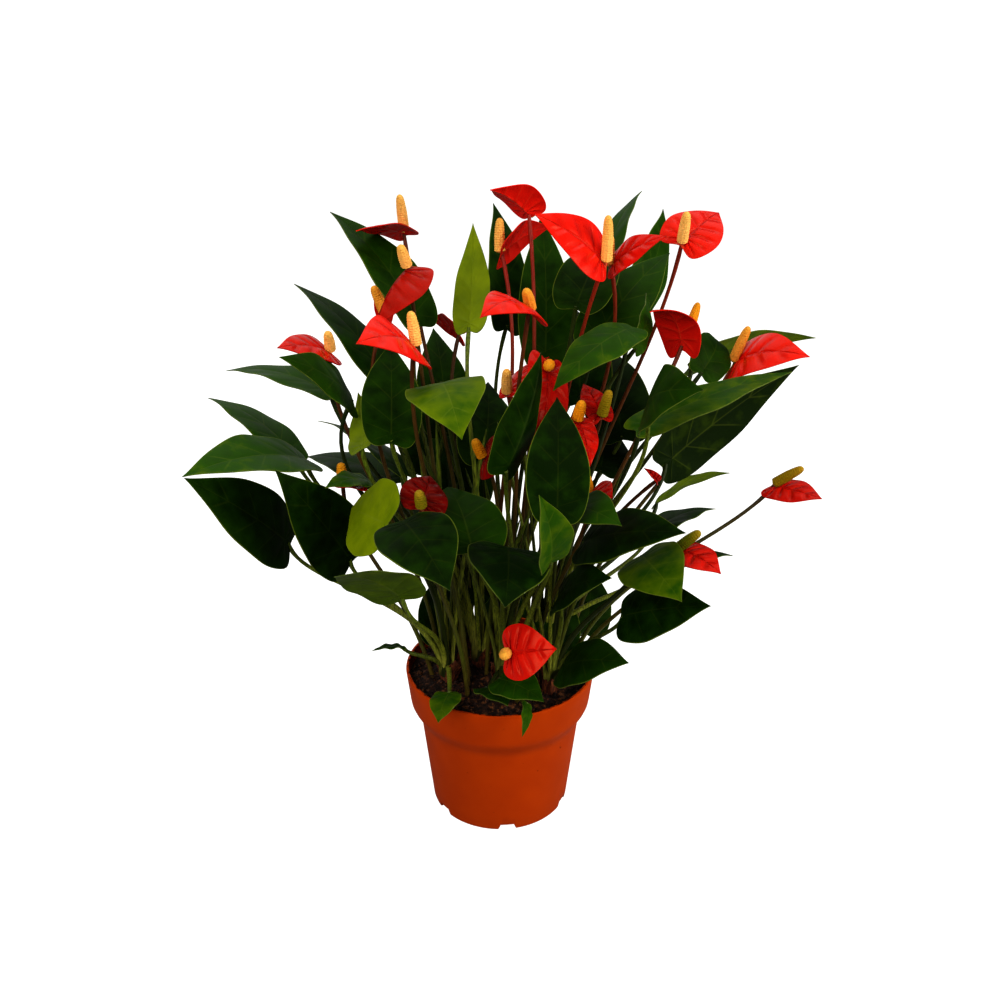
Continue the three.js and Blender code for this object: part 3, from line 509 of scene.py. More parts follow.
def add_node(tree, kind, inputs=None, stops=None, **settings):
    """Adds a shader node.

    An input takes a value, another node's output, or a node for its first output. Stops fill a
    colour ramp, its first and last colours first."""
    made = tree.nodes.new("ShaderNode" + kind)
    for name, value in settings.items():
        setattr(made, name, value)
    for key, value in (inputs or {}).items():
        if isinstance(value, bpy.types.Node):
            value = value.outputs[0]
        if isinstance(value, bpy.types.NodeSocket):
            tree.links.new(value, made.inputs[key])
        else:
            made.inputs[key].default_value = value
    for index, (position, colour) in enumerate(stops or []):
        points = made.color_ramp.elements
        point = points[index] if index < 2 else points.new(position)
        point.position = position
        point.color = colour
    return made


def new_material(name, *painted):
    """A material, its tree, the place on the object, and the numbers painted on the vertices."""
    material = bpy.data.materials.new(name)
    material.use_nodes = True
    tree = material.node_tree
    tree.nodes.clear()
    place = add_node(tree, "TexCoord").outputs["Object"]
    numbers = [
        add_node(tree, "Attribute", attribute_name=layer).outputs["Fac"] for layer in painted]
    return (material, tree, place, *numbers)


def finish_material(tree, colour, roughness, normal, **fixed):
    """Ends a material in a Principled shader, with uniform values on the shader's own sockets."""
    inputs = {"Base Color": colour, "Roughness": roughness, "Normal": normal}
    inputs.update({name.replace("_", " "): value for name, value in fixed.items()})
    shader = add_node(tree, "BsdfPrincipled", inputs)
    add_node(tree, "OutputMaterial", {"Surface": shader.outputs["BSDF"]})


def rgba(colour):
    """A colour setting as red, green, blue and alpha."""
    return (*colour, 1.0)


def deselect():
    bpy.ops.object.select_all(action="DESELECT")


def coordinates(mesh):
    """The places of a mesh's vertices as rows of x, y, z."""
    flat = np.empty(3 * len(mesh.vertices), np.float32)
    mesh.vertices.foreach_get("co", flat)
    return flat.reshape(-1, 3)


def move_vertices(mesh, places):
    """Puts a mesh's vertices at the given places, in metres."""
    mesh.vertices.foreach_set("co", np.asarray(places, np.float32).ravel())
    mesh.update()


def paint(mesh, name, values):
    """Keeps one number for each vertex, which the materials read."""
    layer = mesh.attributes.get(name) or mesh.attributes.new(name, "FLOAT", "POINT")
    layer.data.foreach_set("value", np.broadcast_to(values, len(mesh.vertices)).astype(np.float32))


def join(pieces, name):
    """Joins the pieces into one object, which stands at the origin."""
    deselect()
    for piece in pieces:
        piece.select_set(True)
    bpy.context.view_layer.objects.active = pieces[0]
    if len(pieces) > 1:
        bpy.ops.object.join()
    joined = bpy.context.object
    bpy.ops.object.transform_apply(location=True, rotation=True, scale=True)
    joined.name = name
    joined.data.name = name
    return joined


def smooth(piece, degrees):
    """Shades a piece smooth, apart from edges that turn by more than the angle."""
    deselect()
    piece.select_set(True)
    bpy.context.view_layer.objects.active = piece
    bpy.ops.object.shade_smooth_by_angle(angle=math.radians(degrees))


def add_modifier(piece, kind, **settings):
    """Adds a modifier to a piece and applies it."""
    bpy.context.view_layer.objects.active = piece
    modifier = piece.modifiers.new(kind.title(), kind)
    for name, value in settings.items():
        setattr(modifier, name, value)
    bpy.ops.object.modifier_apply(modifier=modifier.name)


def weld(piece, distance=1e-5):
    """Merges the corners that coincide, where a grid closes on itself or runs to a point."""
    deselect()
    piece.select_set(True)
    bpy.context.view_layer.objects.active = piece
    bpy.ops.object.mode_set(mode="EDIT")
    bpy.ops.mesh.select_all(action="SELECT")
    bpy.ops.mesh.remove_doubles(threshold=distance)
    bpy.ops.object.mode_set(mode="OBJECT")


def add_grid(across, along):
    """A flat grid from -1 to 1 across and 0 to 1 along, with those places as rows."""
    deselect()
    bpy.ops.mesh.primitive_grid_add(x_subdivisions=across, y_subdivisions=along, size=1)
    piece = bpy.context.object
    flat = coordinates(piece.data)
    return piece, 2 * flat[:, 0], flat[:, 1] + 0.5


def settle(piece, slot, *nodes):
    """Rides the piece on the one body, and lets it stand for the CAD nodes."""
    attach(piece, "root")
    if nodes:
        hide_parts(*nodes)


# ---- Blades and stalks ----

def shape_blade(blade, across, along):
    """The places of a blade's grid: across from -1 to 1 over its width, along from its notch."""
    form = blade["form"]
    v = along
    share = np.abs(across)
    lobe = form["lobe"] * v * (1 - v) ** MARGIN["hook"] + form["notch"] * (1 - v)
    end = v ** MARGIN["run"] - lobe
    half = np.sin(math.pi * v ** MARGIN["shift"]).clip(0) ** (MARGIN["full"] + MARGIN["sharp"] * v)
    late = ((v - form["fan_end"]) / (1 - form["fan_end"])).clip(0)
    root = np.where(v > 0, form["fan"] + (1 - form["fan"]) * late ** MARGIN["lag"], end)
    lengthwise = root + (end - root) * share
    sideways = half * share * blade["wide"] / 2
    fold = math.radians(blade["fold"])
    arched = 4 * blade["arch"] * blade["length"] * lengthwise * (1 - lengthwise)
    rise = sideways * math.sin(fold) + arched - form["cup"] * blade["wide"] * share * share * half
    wave = np.sin(2 * math.pi * form["waves"] * v + blade["at"][0] + across)
    rise += form["wave"] * wave * share ** 3 * half
    swell = np.abs(np.sin(math.pi * form["ribs"] * v)) * np.sin(math.pi * share.clip(0, 1) ** 0.8)
    rise += form["puff"] * swell * half
    hand = np.sign(across)
    places = np.outer(lengthwise * blade["length"], blade["along"])
    places += np.outer(hand * sideways * math.cos(fold), blade["side"])
    places += np.outer(rise, blade["out"])
    return (places + np.array(blade["joint"])) * MM


def add_blade(blade, thickness, materials, across=16, along=44):
    """A blade: a grid bent to its outline and thickened, its back and edge in other colours."""
    piece, width, length = add_grid(across, along)
    length = length ** CROWDED
    move_vertices(piece.data, shape_blade(blade, width, length))
    paint(piece.data, "across", np.abs(width))
    paint(piece.data, "v", length)
    weld(piece)
    for material in materials:
        piece.data.materials.append(material)
    add_modifier(piece, "SOLIDIFY", thickness=thickness, offset=0, material_offset=1,
                 material_offset_rim=2)
    return piece


def stalk_line(foot, blade):
    """The four points of a stalk's curve: up from its foot, and to its blade from behind."""
    reach = blade["joint"] - foot
    length = reach.length
    bow = Vector((*blade["bow"], 0))
    low = foot + UP * STALK["rise"] * length + reach * STALK["lean"] + bow
    arrival = (reach.normalized() + blade["out"] * blade["square"]).normalized()
    high = blade["joint"] - arrival * STALK["bend"] * length + bow
    return foot, low, high, blade["joint"]


def curve_points(line, count):
    """Evenly spaced points along a cubic curve, from its four control points."""
    t = np.linspace(0, 1, 200)[:, None]
    start, low, high, end = [np.array(point) for point in line]
    fine = start * (1 - t) ** 3 + 3 * low * t * (1 - t) ** 2
    fine = fine + 3 * high * t * t * (1 - t) + end * t ** 3
    run = np.r_[0, np.cumsum(np.linalg.norm(np.diff(fine, axis=0), axis=1))]
    at = np.linspace(0, run[-1], count)
    return np.stack([np.interp(at, run, fine[:, axis]) for axis in range(3)], axis=1)


def wrap_round(points, radii, sides, share=None):
    """A round closed piece along points in millimetres: a grid wrapped round them.

    The radii hold one number for each point, or one row with a number for each side. Both ends are
    drawn in."""
    count = len(points)
    piece, across, along = add_grid(sides, count + 1)
    ring = np.rint(along * (count + 1)).astype(int) - 1
    column = np.rint((across + 1) / 2 * sides).astype(int) % sides
    radii = np.asarray(radii, float)
    if radii.ndim == 1:
        radii = np.repeat(radii[:, None], sides, axis=1)
    inner = ring.clip(0, count - 1)
    radius = np.where((ring < 0) | (ring >= count), 0, radii[inner, column])
    forward = np.gradient(points, axis=0)
    forward /= np.linalg.norm(forward, axis=1, keepdims=True)
    first = np.empty_like(points)
    aside = np.cross(forward[0], (0.0, 0.0, 1.0) if abs(forward[0][2]) < 0.9 else (1.0, 0.0, 0.0))
    for index, line in enumerate(forward):
        aside = aside - line * aside.dot(line)
        aside /= np.linalg.norm(aside)
        first[index] = aside
    second = np.cross(forward, first)
    turn = (column / sides * 2 * math.pi)[:, None]
    outward = first[inner] * np.cos(turn) + second[inner] * np.sin(turn)
    move_vertices(piece.data, (points[inner] + outward * radius[:, None]) * MM)
    paint(piece.data, "along", inner / (count - 1) if share is None else share[inner])
    weld(piece)
    return piece


def turn_round(profile, sides):
    """A closed piece turned round the pot's axis, from a profile of radii and heights."""
    piece, across, along = add_grid(sides, len(profile) - 1)
    ring = np.rint(along * (len(profile) - 1)).astype(int)
    radius, height = np.array(profile, float)[ring].T
    turn = np.rint((across + 1) / 2 * sides) / sides * 2 * math.pi
    move_vertices(piece.data,
                  np.stack([radius * np.cos(turn), radius * np.sin(turn), height], axis=1))
    weld(piece)
    return piece


def add_stalk(line, foot, top, material, sheath=0.9, knee=0.35):
    """A stalk along its curve, with a wider sheath at its foot and a swollen knee at its blade."""
    points = curve_points(line, STALK["points"])
    share = np.linspace(0, 1, len(points))
    radii = foot + (top - foot) * share
    swollen = np.exp(-((share - STALK["knee"]) / STALK["knee_half"]) ** 2)
    radii *= 1 + sheath * np.exp(-share / STALK["sheath_end"]) + knee * swollen
    stalk = wrap_round(points, radii, STALK["sides"])
    stalk.data.materials.append(material)
    return stalk


# ---- Materials ----

# The colour that light takes where it glances off a skin.
LEAF_GLINT, FLOWER_GLINT, POT_GLINT = "#E6FF9A", "#FFC08C", "#FFB070"


def leaf_green(sizes):
    """Waxy leaf skin: smooth and half glossy, deep green with fine paler ribs sunk in it."""
    material, tree, place, tone, across, length = new_material(
        "Waxy leaf skin", "tone", "across", "v")
    # Cloudy patches of about 12 mm, as older and younger cells give.
    cloud = add_node(tree, "TexNoise", {"Vector": place, "Scale": 80.0, "Detail": 3.0})
    shift = add_node(tree, "MapRange", {0: cloud, 1: 0.3, 2: 0.7, 3: -0.1, 4: 0.1})
    # Each leaf is lighter towards its edge.
    edge = add_node(tree, "Math", {0: across, 1: 3.0}, operation="POWER")
    lighter_to_edge = add_node(tree, "MapRange", {0: edge, 4: 0.09})
    # The tone gives old leaves their dark green, and painted shade to leaves that lie in shadow.
    shifted = add_node(tree, "Math", {0: tone, 1: shift}, operation="ADD")
    toned = add_node(tree, "Math", {0: shifted, 1: lighter_to_edge}, operation="ADD")
    green = add_node(tree, "ValToRGB", {0: toned}, stops=[
        (0.0, rgba(sizes.old)), (1.0, rgba(sizes.fresh)), (0.55, rgba(sizes.grown))])
    rib, raised = add_ribs(tree, across, length, BLADE["ribs"])
    # Ribs show on bright leaves, and hardly at all on dark ones: old leaves and leaves with painted
    # shade.
    clear = add_node(tree, "MapRange", {0: tone, 1: 0.0, 2: 0.8, 3: 0.03, 4: 0.2})
    paler = add_node(tree, "Math", {0: rib, 1: clear}, operation="MULTIPLY")
    ribbed = add_node(tree, "Mix", {0: paler, 6: green, 7: rgba(sizes.pale)}, data_type="RGBA")
    # A pale line along the very edge: painted highlight, and painted light shining through the thin
    # margin.
    rim = add_node(tree, "MapRange", {0: across, 1: 0.97, 2: 0.995, 4: 0.6})
    edge_highlighted = add_node(tree, "Mix", {0: rim, 6: ribbed.outputs[2], 7: rgba(sizes.pale)},
                     data_type="RGBA")
    gloss = add_node(tree, "MapRange", {0: cloud, 1: 0.3, 2: 0.7, 3: 0.42, 4: 0.54})
    # Fine cells, drawn 0.8 mm wide where the real ones are too small to see.
    cells = add_node(tree, "TexVoronoi", {"Vector": place, "Scale": 1250.0})
    grain = add_node(tree, "Bump", {"Strength": 0.12, "Distance": 0.0002, "Height": cells})
    bump = add_node(tree, "Bump", {
        "Strength": 0.22, "Distance": 0.0005, "Height": raised, "Normal": grain}, invert=True)
    finish_material(tree, edge_highlighted.outputs[2], gloss, bump, IOR=1.42, Specular_IOR_Level=0.08,
                    Specular_Tint=linear(LEAF_GLINT))
    return material


def add_ribs(tree, across, length, ribs):
    """Masks from how far a point lies across and along a blade: its rib lines and their relief."""
    middle = add_node(tree, "MapRange", {0: across, 1: 0.012, 2: 0.04, 3: 1.0, 4: 0.0},
                      interpolation_type="SMOOTHSTEP")
    place = add_node(tree, "Math", {0: length, 1: float(ribs)}, operation="MULTIPLY")
    away = add_node(tree, "Math", {0: place, 1: 0.5}, operation="PINGPONG")
    thin = add_node(tree, "MapRange", {0: away, 1: 0.01, 2: 0.05, 3: 0.8, 4: 0.0},
                    interpolation_type="SMOOTHSTEP")
    wide = add_node(tree, "MapRange", {0: away, 1: 0.0, 2: 0.3, 3: 0.8, 4: 0.0},
                    interpolation_type="SMOOTHSTEP")
    middle_wide = add_node(tree, "MapRange", {0: across, 1: 0.0, 2: 0.12, 3: 1.0, 4: 0.0},
                           interpolation_type="SMOOTHSTEP")
    # The side ribs fade before the edge.
    inside = add_node(tree, "MapRange", {0: across, 1: 0.6, 2: 0.95, 3: 1.0, 4: 0.0})
    faded = add_node(tree, "Math", {0: thin, 1: inside}, operation="MULTIPLY")
    faded_wide = add_node(tree, "Math", {0: wide, 1: inside}, operation="MULTIPLY")
    line = add_node(tree, "Math", {0: middle, 1: faded}, operation="MAXIMUM")
    relief = add_node(tree, "Math", {0: middle_wide, 1: faded_wide}, operation="MAXIMUM")
    return line.outputs[0], relief.outputs[0]


def leaf_underside(sizes):
    """Leaf underside: duller and paler than the top, with its ribs standing out."""
    material, tree, place, tone, across, length = new_material(
        "Leaf underside", "tone", "across", "v")
    cloud = add_node(tree, "TexNoise", {"Vector": place, "Scale": 60.0, "Detail": 3.0})
    shift = add_node(tree, "MapRange", {0: cloud, 1: 0.3, 2: 0.7, 3: -0.12, 4: 0.12})
    # The tone darkens old leaves, and puts painted shade on leaves that lie in shadow.
    toned = add_node(tree, "Math", {0: tone, 1: shift}, operation="ADD")
    green = add_node(tree, "ValToRGB", {0: toned}, stops=[
        (0.0, linear("#0A1A02")), (1.0, linear("#78860E")), (0.5, linear("#42560A"))])
    rib, raised = add_ribs(tree, across, length, BLADE["ribs"])
    paler = add_node(tree, "Math", {0: rib, 1: 0.14}, operation="MULTIPLY")
    ribbed = add_node(tree, "Mix", {0: paler, 6: green, 7: rgba(sizes.pale)}, data_type="RGBA")
    gloss = add_node(tree, "MapRange", {0: cloud, 1: 0.3, 2: 0.7, 3: 0.5, 4: 0.62})
    bump = add_node(tree, "Bump", {"Strength": 0.6, "Distance": 0.0006, "Height": raised})
    finish_material(tree, ribbed.outputs[2], gloss, bump, IOR=1.42, Specular_IOR_Level=0.1,
                    Specular_Tint=linear(LEAF_GLINT))
    return material


def leaf_edge():
    """Leaf edge: the thin horny rim of a leaf, yellow-green where light comes through."""
    material, tree, place = new_material("Leaf edge")
    cloud = add_node(tree, "TexNoise", {"Vector": place, "Scale": 120.0})
    colour = add_node(tree, "ValToRGB", {0: cloud}, stops=[
        (0.35, linear("#3E4C14")), (0.7, linear("#5E6C20"))])
    bump = add_node(tree, "Bump", {"Strength": 0.2, "Distance": 0.0002, "Height": cloud})
    finish_material(tree, colour, 0.45, bump, IOR=1.45, Specular_IOR_Level=0.2)
    return material


def leaf_stalk(sizes):
    """Leaf stalk skin: dark when old, olive when young, paler at the sheath, finely streaked."""
    material, tree, place, tone, along = new_material("Leaf stalk skin", "tone", "along")
    # Streaks about 1 mm apart that run up the stalk.
    stretch = add_node(tree, "Mapping", {"Vector": place, "Scale": (1.0, 1.0, 0.08)})
    streak = add_node(tree, "TexNoise", {"Vector": stretch, "Scale": 1000.0, "Detail": 3.0})
    colour = add_node(tree, "ValToRGB", {0: along}, stops=[
        (0.0, linear("#3A2410")), (1.0, linear("#5A6A14")), (0.07, linear("#9A9840")),
        (0.2, rgba(sizes.stalk))])
    dark = add_node(tree, "MapRange", {0: streak, 1: 0.4, 2: 0.6, 3: 0.0, 4: 0.65})
    age = add_node(tree, "MapRange", {0: tone, 1: 0.1, 2: 0.8, 3: 0.92, 4: 0.0})
    aged = add_node(tree, "Mix", {0: age, 6: colour, 7: linear("#142004")}, data_type="RGBA")
    streaked = add_node(tree, "Mix", {0: dark, 6: aged.outputs[2], 7: linear("#1C2408")},
                        data_type="RGBA")
    gloss = add_node(tree, "MapRange", {0: streak, 3: 0.4, 4: 0.55})
    bump = add_node(tree, "Bump", {"Strength": 0.35, "Distance": 0.0003, "Height": streak})
    finish_material(tree, streaked.outputs[2], gloss, bump, IOR=1.45, Specular_IOR_Level=0.2)
    return material


def spathe_red(sizes):
    """Spathe skin: a thick lacquered red, quilted between sunken ribs, with painted shade in the
    ribs and on spathes in shadow.
    """
    material, tree, place, shade, across, length = new_material(
        "Lacquered spathe skin", "shade", "across", "v")
    cloud = add_node(tree, "TexNoise", {"Vector": place, "Scale": 90.0, "Detail": 4.0})
    shift = add_node(tree, "MapRange", {0: cloud, 1: 0.3, 2: 0.7, 3: -0.08, 4: 0.08})
    # The shade number darkens spathes that lie in shadow, as painted shade, along with each one's
    # own red.
    shaded = add_node(tree, "Math", {0: shade, 1: shift}, operation="ADD")
    red = add_node(tree, "ValToRGB", {0: shaded}, stops=[
        (0.0, rgba(sizes.dark_red)), (1.0, rgba(sizes.red))])
    _, raised = add_ribs(tree, across, length, SPATHE["ribs"])
    # Darker red in the sunken ribs: painted shade in the creases.
    rib_crease_shade = add_node(tree, "Math", {0: raised, 1: 0.14}, operation="MULTIPLY")
    ribbed = add_node(tree, "Mix", {0: rib_crease_shade, 6: red, 7: rgba(sizes.dark_red)}, data_type="RGBA")
    # A paler throat round the foot of the spadix.
    throat = add_node(tree, "MapRange", {0: length, 1: 0.0, 2: 0.03, 3: 0.35, 4: 0.0})
    throated = add_node(tree, "Mix", {0: throat, 6: ribbed.outputs[2], 7: linear("#B07A4A")},
                        data_type="RGBA")
    gloss = add_node(tree, "MapRange", {0: cloud, 1: 0.3, 2: 0.7, 3: 0.24, 4: 0.34})
    # Pimples 1.2 mm across.
    cells = add_node(tree, "TexVoronoi", {"Vector": place, "Scale": 830.0},
                     feature="SMOOTH_F1")
    grain = add_node(tree, "Bump", {"Strength": 0.15, "Distance": 0.0003, "Height": cells})
    bump = add_node(tree, "Bump", {
        "Strength": 0.75, "Distance": 0.0016, "Height": raised, "Normal": grain}, invert=True)
    finish_material(tree, throated.outputs[2], gloss, bump, IOR=1.47, Specular_IOR_Level=0.2,
                    Specular_Tint=linear(FLOWER_GLINT))
    return material


def spathe_back(sizes):
    """Spathe back: a duller red than the front, with raised ribs."""
    material, tree, place, across, length, shade = new_material(
        "Spathe back", "across", "v", "shade")
    cloud = add_node(tree, "TexNoise", {"Vector": place, "Scale": 70.0, "Detail": 3.0})
    shift = add_node(tree, "MapRange", {0: cloud, 1: 0.3, 2: 0.7, 3: -0.12, 4: 0.12})
    # The shade number darkens the backs of spathes that lie in shadow: painted shade.
    shaded = add_node(tree, "Math", {0: shade, 1: shift}, operation="ADD")
    red = add_node(tree, "ValToRGB", {0: shaded}, stops=[
        (0.0, rgba(sizes.dark_red)), (1.0, linear("#D8180C"))])
    rib, raised = add_ribs(tree, across, length, SPATHE["ribs"])
    paler = add_node(tree, "Math", {0: rib, 1: 0.3}, operation="MULTIPLY")
    ribbed = add_node(tree, "Mix", {0: paler, 6: red, 7: linear("#C84A2C")}, data_type="RGBA")
    gloss = add_node(tree, "MapRange", {0: cloud, 3: 0.45, 4: 0.6})
    bump = add_node(tree, "Bump", {"Strength": 0.6, "Distance": 0.0008, "Height": raised})
    finish_material(tree, ribbed.outputs[2], gloss, bump, IOR=1.45, Specular_IOR_Level=0.15,
                    Specular_Tint=linear(FLOWER_GLINT))
    return material


def flower_stalk(sizes):
    """Flower stalk skin: green at the foot, flushed red-brown towards the spathe."""
    material, tree, place, along, flush = new_material("Flower stalk skin", "along", "flush")
    stretch = add_node(tree, "Mapping", {"Vector": place, "Scale": (1.0, 1.0, 0.08)})
    streak = add_node(tree, "TexNoise", {"Vector": stretch, "Scale": 900.0, "Detail": 3.0})
    green = add_node(tree, "ValToRGB", {0: along}, stops=[
        (0.0, linear("#5E4A1E")), (1.0, linear("#2C2A0C")), (0.25, linear("#4A5214"))])
    red = add_node(tree, "ValToRGB", {0: along}, stops=[
        (0.3, linear("#4A3A12")), (1.0, linear("#A01E0C")), (0.65, rgba(sizes.stalk_red))])
    colour = add_node(tree, "Mix", {0: flush, 6: green, 7: red}, data_type="RGBA")
    dark = add_node(tree, "MapRange", {0: streak, 1: 0.35, 2: 0.65, 3: 0.0, 4: 0.4})
    streaked = add_node(tree, "Mix", {0: dark, 6: colour.outputs[2], 7: linear("#241006")},
                        data_type="RGBA")
    gloss = add_node(tree, "MapRange", {0: streak, 3: 0.35, 4: 0.5})
    bump = add_node(tree, "Bump", {"Strength": 0.3, "Distance": 0.0003, "Height": streak})
    finish_material(tree, streaked.outputs[2], gloss, bump, IOR=1.45, Specular_IOR_Level=0.2)
    return material


def spadix_skin():
    """Spadix: hundreds of tiny florets, green when young, then orange-yellow, then cream."""
    material, tree, place, ripe, along = new_material("Spadix florets", "ripe", "along")
    # Florets about 1.6 mm across.
    cells = add_node(tree, "TexVoronoi", {"Vector": place, "Scale": 620.0})
    colour = add_node(tree, "ValToRGB", {0: ripe}, stops=[
        (0.0, linear("#5C6606")), (1.0, linear("#FFC068")), (0.5, linear("#E0860C"))])
    # The tip ripens last.
    tip = add_node(tree, "MapRange", {0: along, 1: 0.55, 2: 1.0, 3: 0.0, 4: 0.35})
    tipped = add_node(tree, "Mix", {0: tip, 6: colour, 7: linear("#C8962A")}, data_type="RGBA")
    # Darker brown in the sunken seams between the florets: painted shade.
    seam_shade = add_node(tree, "MapRange", {0: cells, 1: 0.4, 2: 0.85, 3: 0.0, 4: 0.22})
    seam_shaded = add_node(tree, "Mix", {0: seam_shade, 6: tipped.outputs[2], 7: linear("#8A5A14")},
                      data_type="RGBA")
    gloss = add_node(tree, "MapRange", {0: cells, 3: 0.45, 4: 0.65})
    bump = add_node(tree, "Bump", {"Strength": 0.7, "Distance": 0.0006, "Height": cells},
                    invert=True)
    finish_material(tree, seam_shaded.outputs[2], gloss, bump, IOR=1.45, Specular_IOR_Level=0.2,
                    Specular_Tint=linear(FLOWER_GLINT), Subsurface_Weight=0.1,
                    Subsurface_Radius=(0.002, 0.001, 0.0006))
    return material


def bract_paper():
    """Dry bract: thin brown paper, torn and streaked along its length."""
    material, tree, place = new_material("Dry bract")
    stretch = add_node(tree, "Mapping", {"Vector": place, "Scale": (1.0, 1.0, 0.15)})
    streak = add_node(tree, "TexNoise", {"Vector": stretch, "Scale": 700.0, "Detail": 5.0})
    colour = add_node(tree, "ValToRGB", {0: streak}, stops=[
        (0.3, linear("#2C1406")), (0.75, linear("#9A5A2C")), (0.55, linear("#5E2C12"))])
    bump = add_node(tree, "Bump", {"Strength": 0.6, "Distance": 0.0004, "Height": streak})
    finish_material(tree, colour, 0.75, bump, IOR=1.4)
    return material


def damp_peat(sizes):
    """Damp peat: nearly black crumbs and fibres, with paler dry bits and a wet glint."""
    material, tree, place = new_material("Damp peat")
    lump = add_node(tree, "TexNoise", {"Vector": place, "Scale": 220.0, "Detail": 8.0})
    speck = add_node(tree, "TexVoronoi", {"Vector": place, "Scale": 420.0})
    colour = add_node(tree, "ValToRGB", {0: lump}, stops=[
        (0.32, linear("#0C0502")), (0.72, linear("#7A4A24")), (0.55, rgba(sizes.peat))])
    gloss = add_node(tree, "MapRange", {0: lump, 1: 0.3, 2: 0.7, 3: 0.95, 4: 0.6})
    fine = add_node(tree, "Bump", {"Strength": 0.8, "Distance": 0.0008, "Height": speck})
    bump = add_node(tree, "Bump",
                    {"Strength": 1.0, "Distance": 0.002, "Height": lump, "Normal": fine})
    finish_material(tree, colour, gloss, bump, IOR=1.35)
    return material


def pot_plastic(sizes):
    """Moulded polypropylene: half matt terracotta orange, with dark brown patches on its inner wall
    near the top.
    """
    material, tree, place = new_material("Moulded polypropylene")
    split = add_node(tree, "SeparateXYZ", {0: place})
    cloud = add_node(tree, "TexNoise", {"Vector": place, "Scale": 35.0, "Detail": 2.0})
    tint = add_node(tree, "MapRange", {0: cloud, 1: 0.3, 2: 0.7, 3: 0.0, 4: 0.3})
    mottled = add_node(tree, "Mix", {0: tint, 6: rgba(sizes.plastic), 7: linear("#8E2A04")},
                       data_type="RGBA")
    # Dark brown patches on the inner wall under the rim, more of them towards the top.
    dark_patch_noise = add_node(tree, "TexNoise", {"Vector": place, "Scale": 160.0, "Detail": 6.0})
    high = add_node(tree, "MapRange", {0: split.outputs["Z"], 1: 0.12, 2: 0.139, 3: 0.0, 4: 0.22})
    level = add_node(tree, "Math", {0: dark_patch_noise, 1: high}, operation="ADD")
    flat = add_node(tree, "VectorMath", {0: place, 1: (1.0, 1.0, 0.0)}, operation="MULTIPLY")
    away = add_node(tree, "VectorMath", {0: flat}, operation="LENGTH")
    inner = add_node(tree, "MapRange",
                     {0: away.outputs["Value"], 1: 0.0832, 2: 0.0838, 3: 1.0, 4: 0.0})
    dark_patches = add_node(tree, "MapRange", {0: level, 1: 0.7, 2: 0.78})
    inner_dark = add_node(tree, "Math", {0: dark_patches, 1: inner}, operation="MULTIPLY")
    inner_darkened = add_node(tree, "Mix", {0: inner_dark, 6: mottled.outputs[2], 7: linear("#2A1004")},
                     data_type="RGBA")
    gloss = add_node(tree, "MapRange", {0: inner_dark, 3: 0.52, 4: 0.9})
    # The mould's spark texture, drawn 0.7 mm wide.
    grit = add_node(tree, "TexNoise", {"Vector": place, "Scale": 1400.0, "Detail": 2.0})
    bump = add_node(tree, "Bump", {"Strength": 0.12, "Distance": 0.0002, "Height": grit})
    finish_material(tree, inner_darkened.outputs[2], gloss, bump, IOR=1.49, Specular_IOR_Level=0.06,
                    Specular_Tint=linear(POT_GLINT))
    return material


def floor_paper(colour):
    """Matt paper sweep: nearly white, with the faintest mottling."""
    material, tree, place = new_material("Matt paper sweep")
    cloud = add_node(tree, "TexNoise", {"Vector": place, "Scale": 4.0})
    tint = add_node(tree, "Mix", {0: cloud, 6: rgba(colour), 7: linear("#9D9C99")},
                    data_type="RGBA")
    fibre = add_node(tree, "TexNoise", {"Vector": place, "Scale": 900.0})
    bump = add_node(tree, "Bump", {"Strength": 0.05, "Distance": 0.0002, "Height": fibre})
    # It shines into the camera like a light table, and only bounces lamplight onto the plant.
    path = add_node(tree, "LightPath")
    glow = add_node(tree, "Math", {0: path.outputs["Is Camera Ray"], 1: 0.8}, operation="MULTIPLY")
    finish_material(tree, tint.outputs[2], 0.9, bump, Emission_Color=linear("#FFFFFF"),
                    Emission_Strength=glow)
    return material


# ---- Pieces ----

class ANTHURIUM_OT_stage(bpy.types.Operator):
    """Adds the floor, the soft lights and the camera"""
    bl_idname = "anthurium.stage"
    bl_label = "Stage"

    def execute(self, context):
        looks = context.scene.anthurium_stage
        deselect()
        bpy.ops.mesh.primitive_plane_add(size=FLOOR_SIZE, location=(0, 0, 0))
        floor = join([context.object], "studio_floor")
        floor.data.materials.append(floor_paper(looks.floor))
        world = bpy.data.worlds.new("Studio")
        world.use_nodes = True
        context.scene.world = world
        tree = world.node_tree
        tree.nodes.clear()
        path = add_node(tree, "LightPath")
        room = add_node(tree, "Background", {"Color": linear("#FFFFFF"), "Strength": looks.air})
        white = add_node(tree, "Background", {"Color": linear("#FFFFFF"), "Strength": 1.0})
        seen = add_node(tree, "MixShader", {
            0: path.outputs["Is Camera Ray"], 1: room.outputs[0], 2: white.outputs[0]})
        add_node(tree, "OutputWorld", {"Surface": seen})
        for name, place, size, power in LIGHTS:
            self.add_light(name, place, size, getattr(looks, power))
        bpy.ops.object.camera_add(location=EYE * MM, rotation=(math.pi / 2 - PITCH, 0, 0))
        camera = context.object
        camera.name = "Front camera"
        camera.data.sensor_width = SENSOR
        camera.data.lens = SENSOR * FOCAL / PICTURE
        context.scene.camera = camera
        context.scene.view_settings.view_transform = "Standard"
        context.scene.view_settings.look = "Medium High Contrast"
        return {"FINISHED"}

    @staticmethod
    def add_light(name, place, size, power):
        """A soft square light aimed at the middle of the plant."""
        bpy.ops.object.light_add(type="AREA", location=place)
        light = bpy.context.object
        light.name = name
        light.data.shape = "SQUARE"
        light.data.size = size
        light.data.energy = power
        aim = LIT_PLACE - Vector(place)
        light.rotation_euler = aim.to_track_quat("-Z", "Y").to_euler()


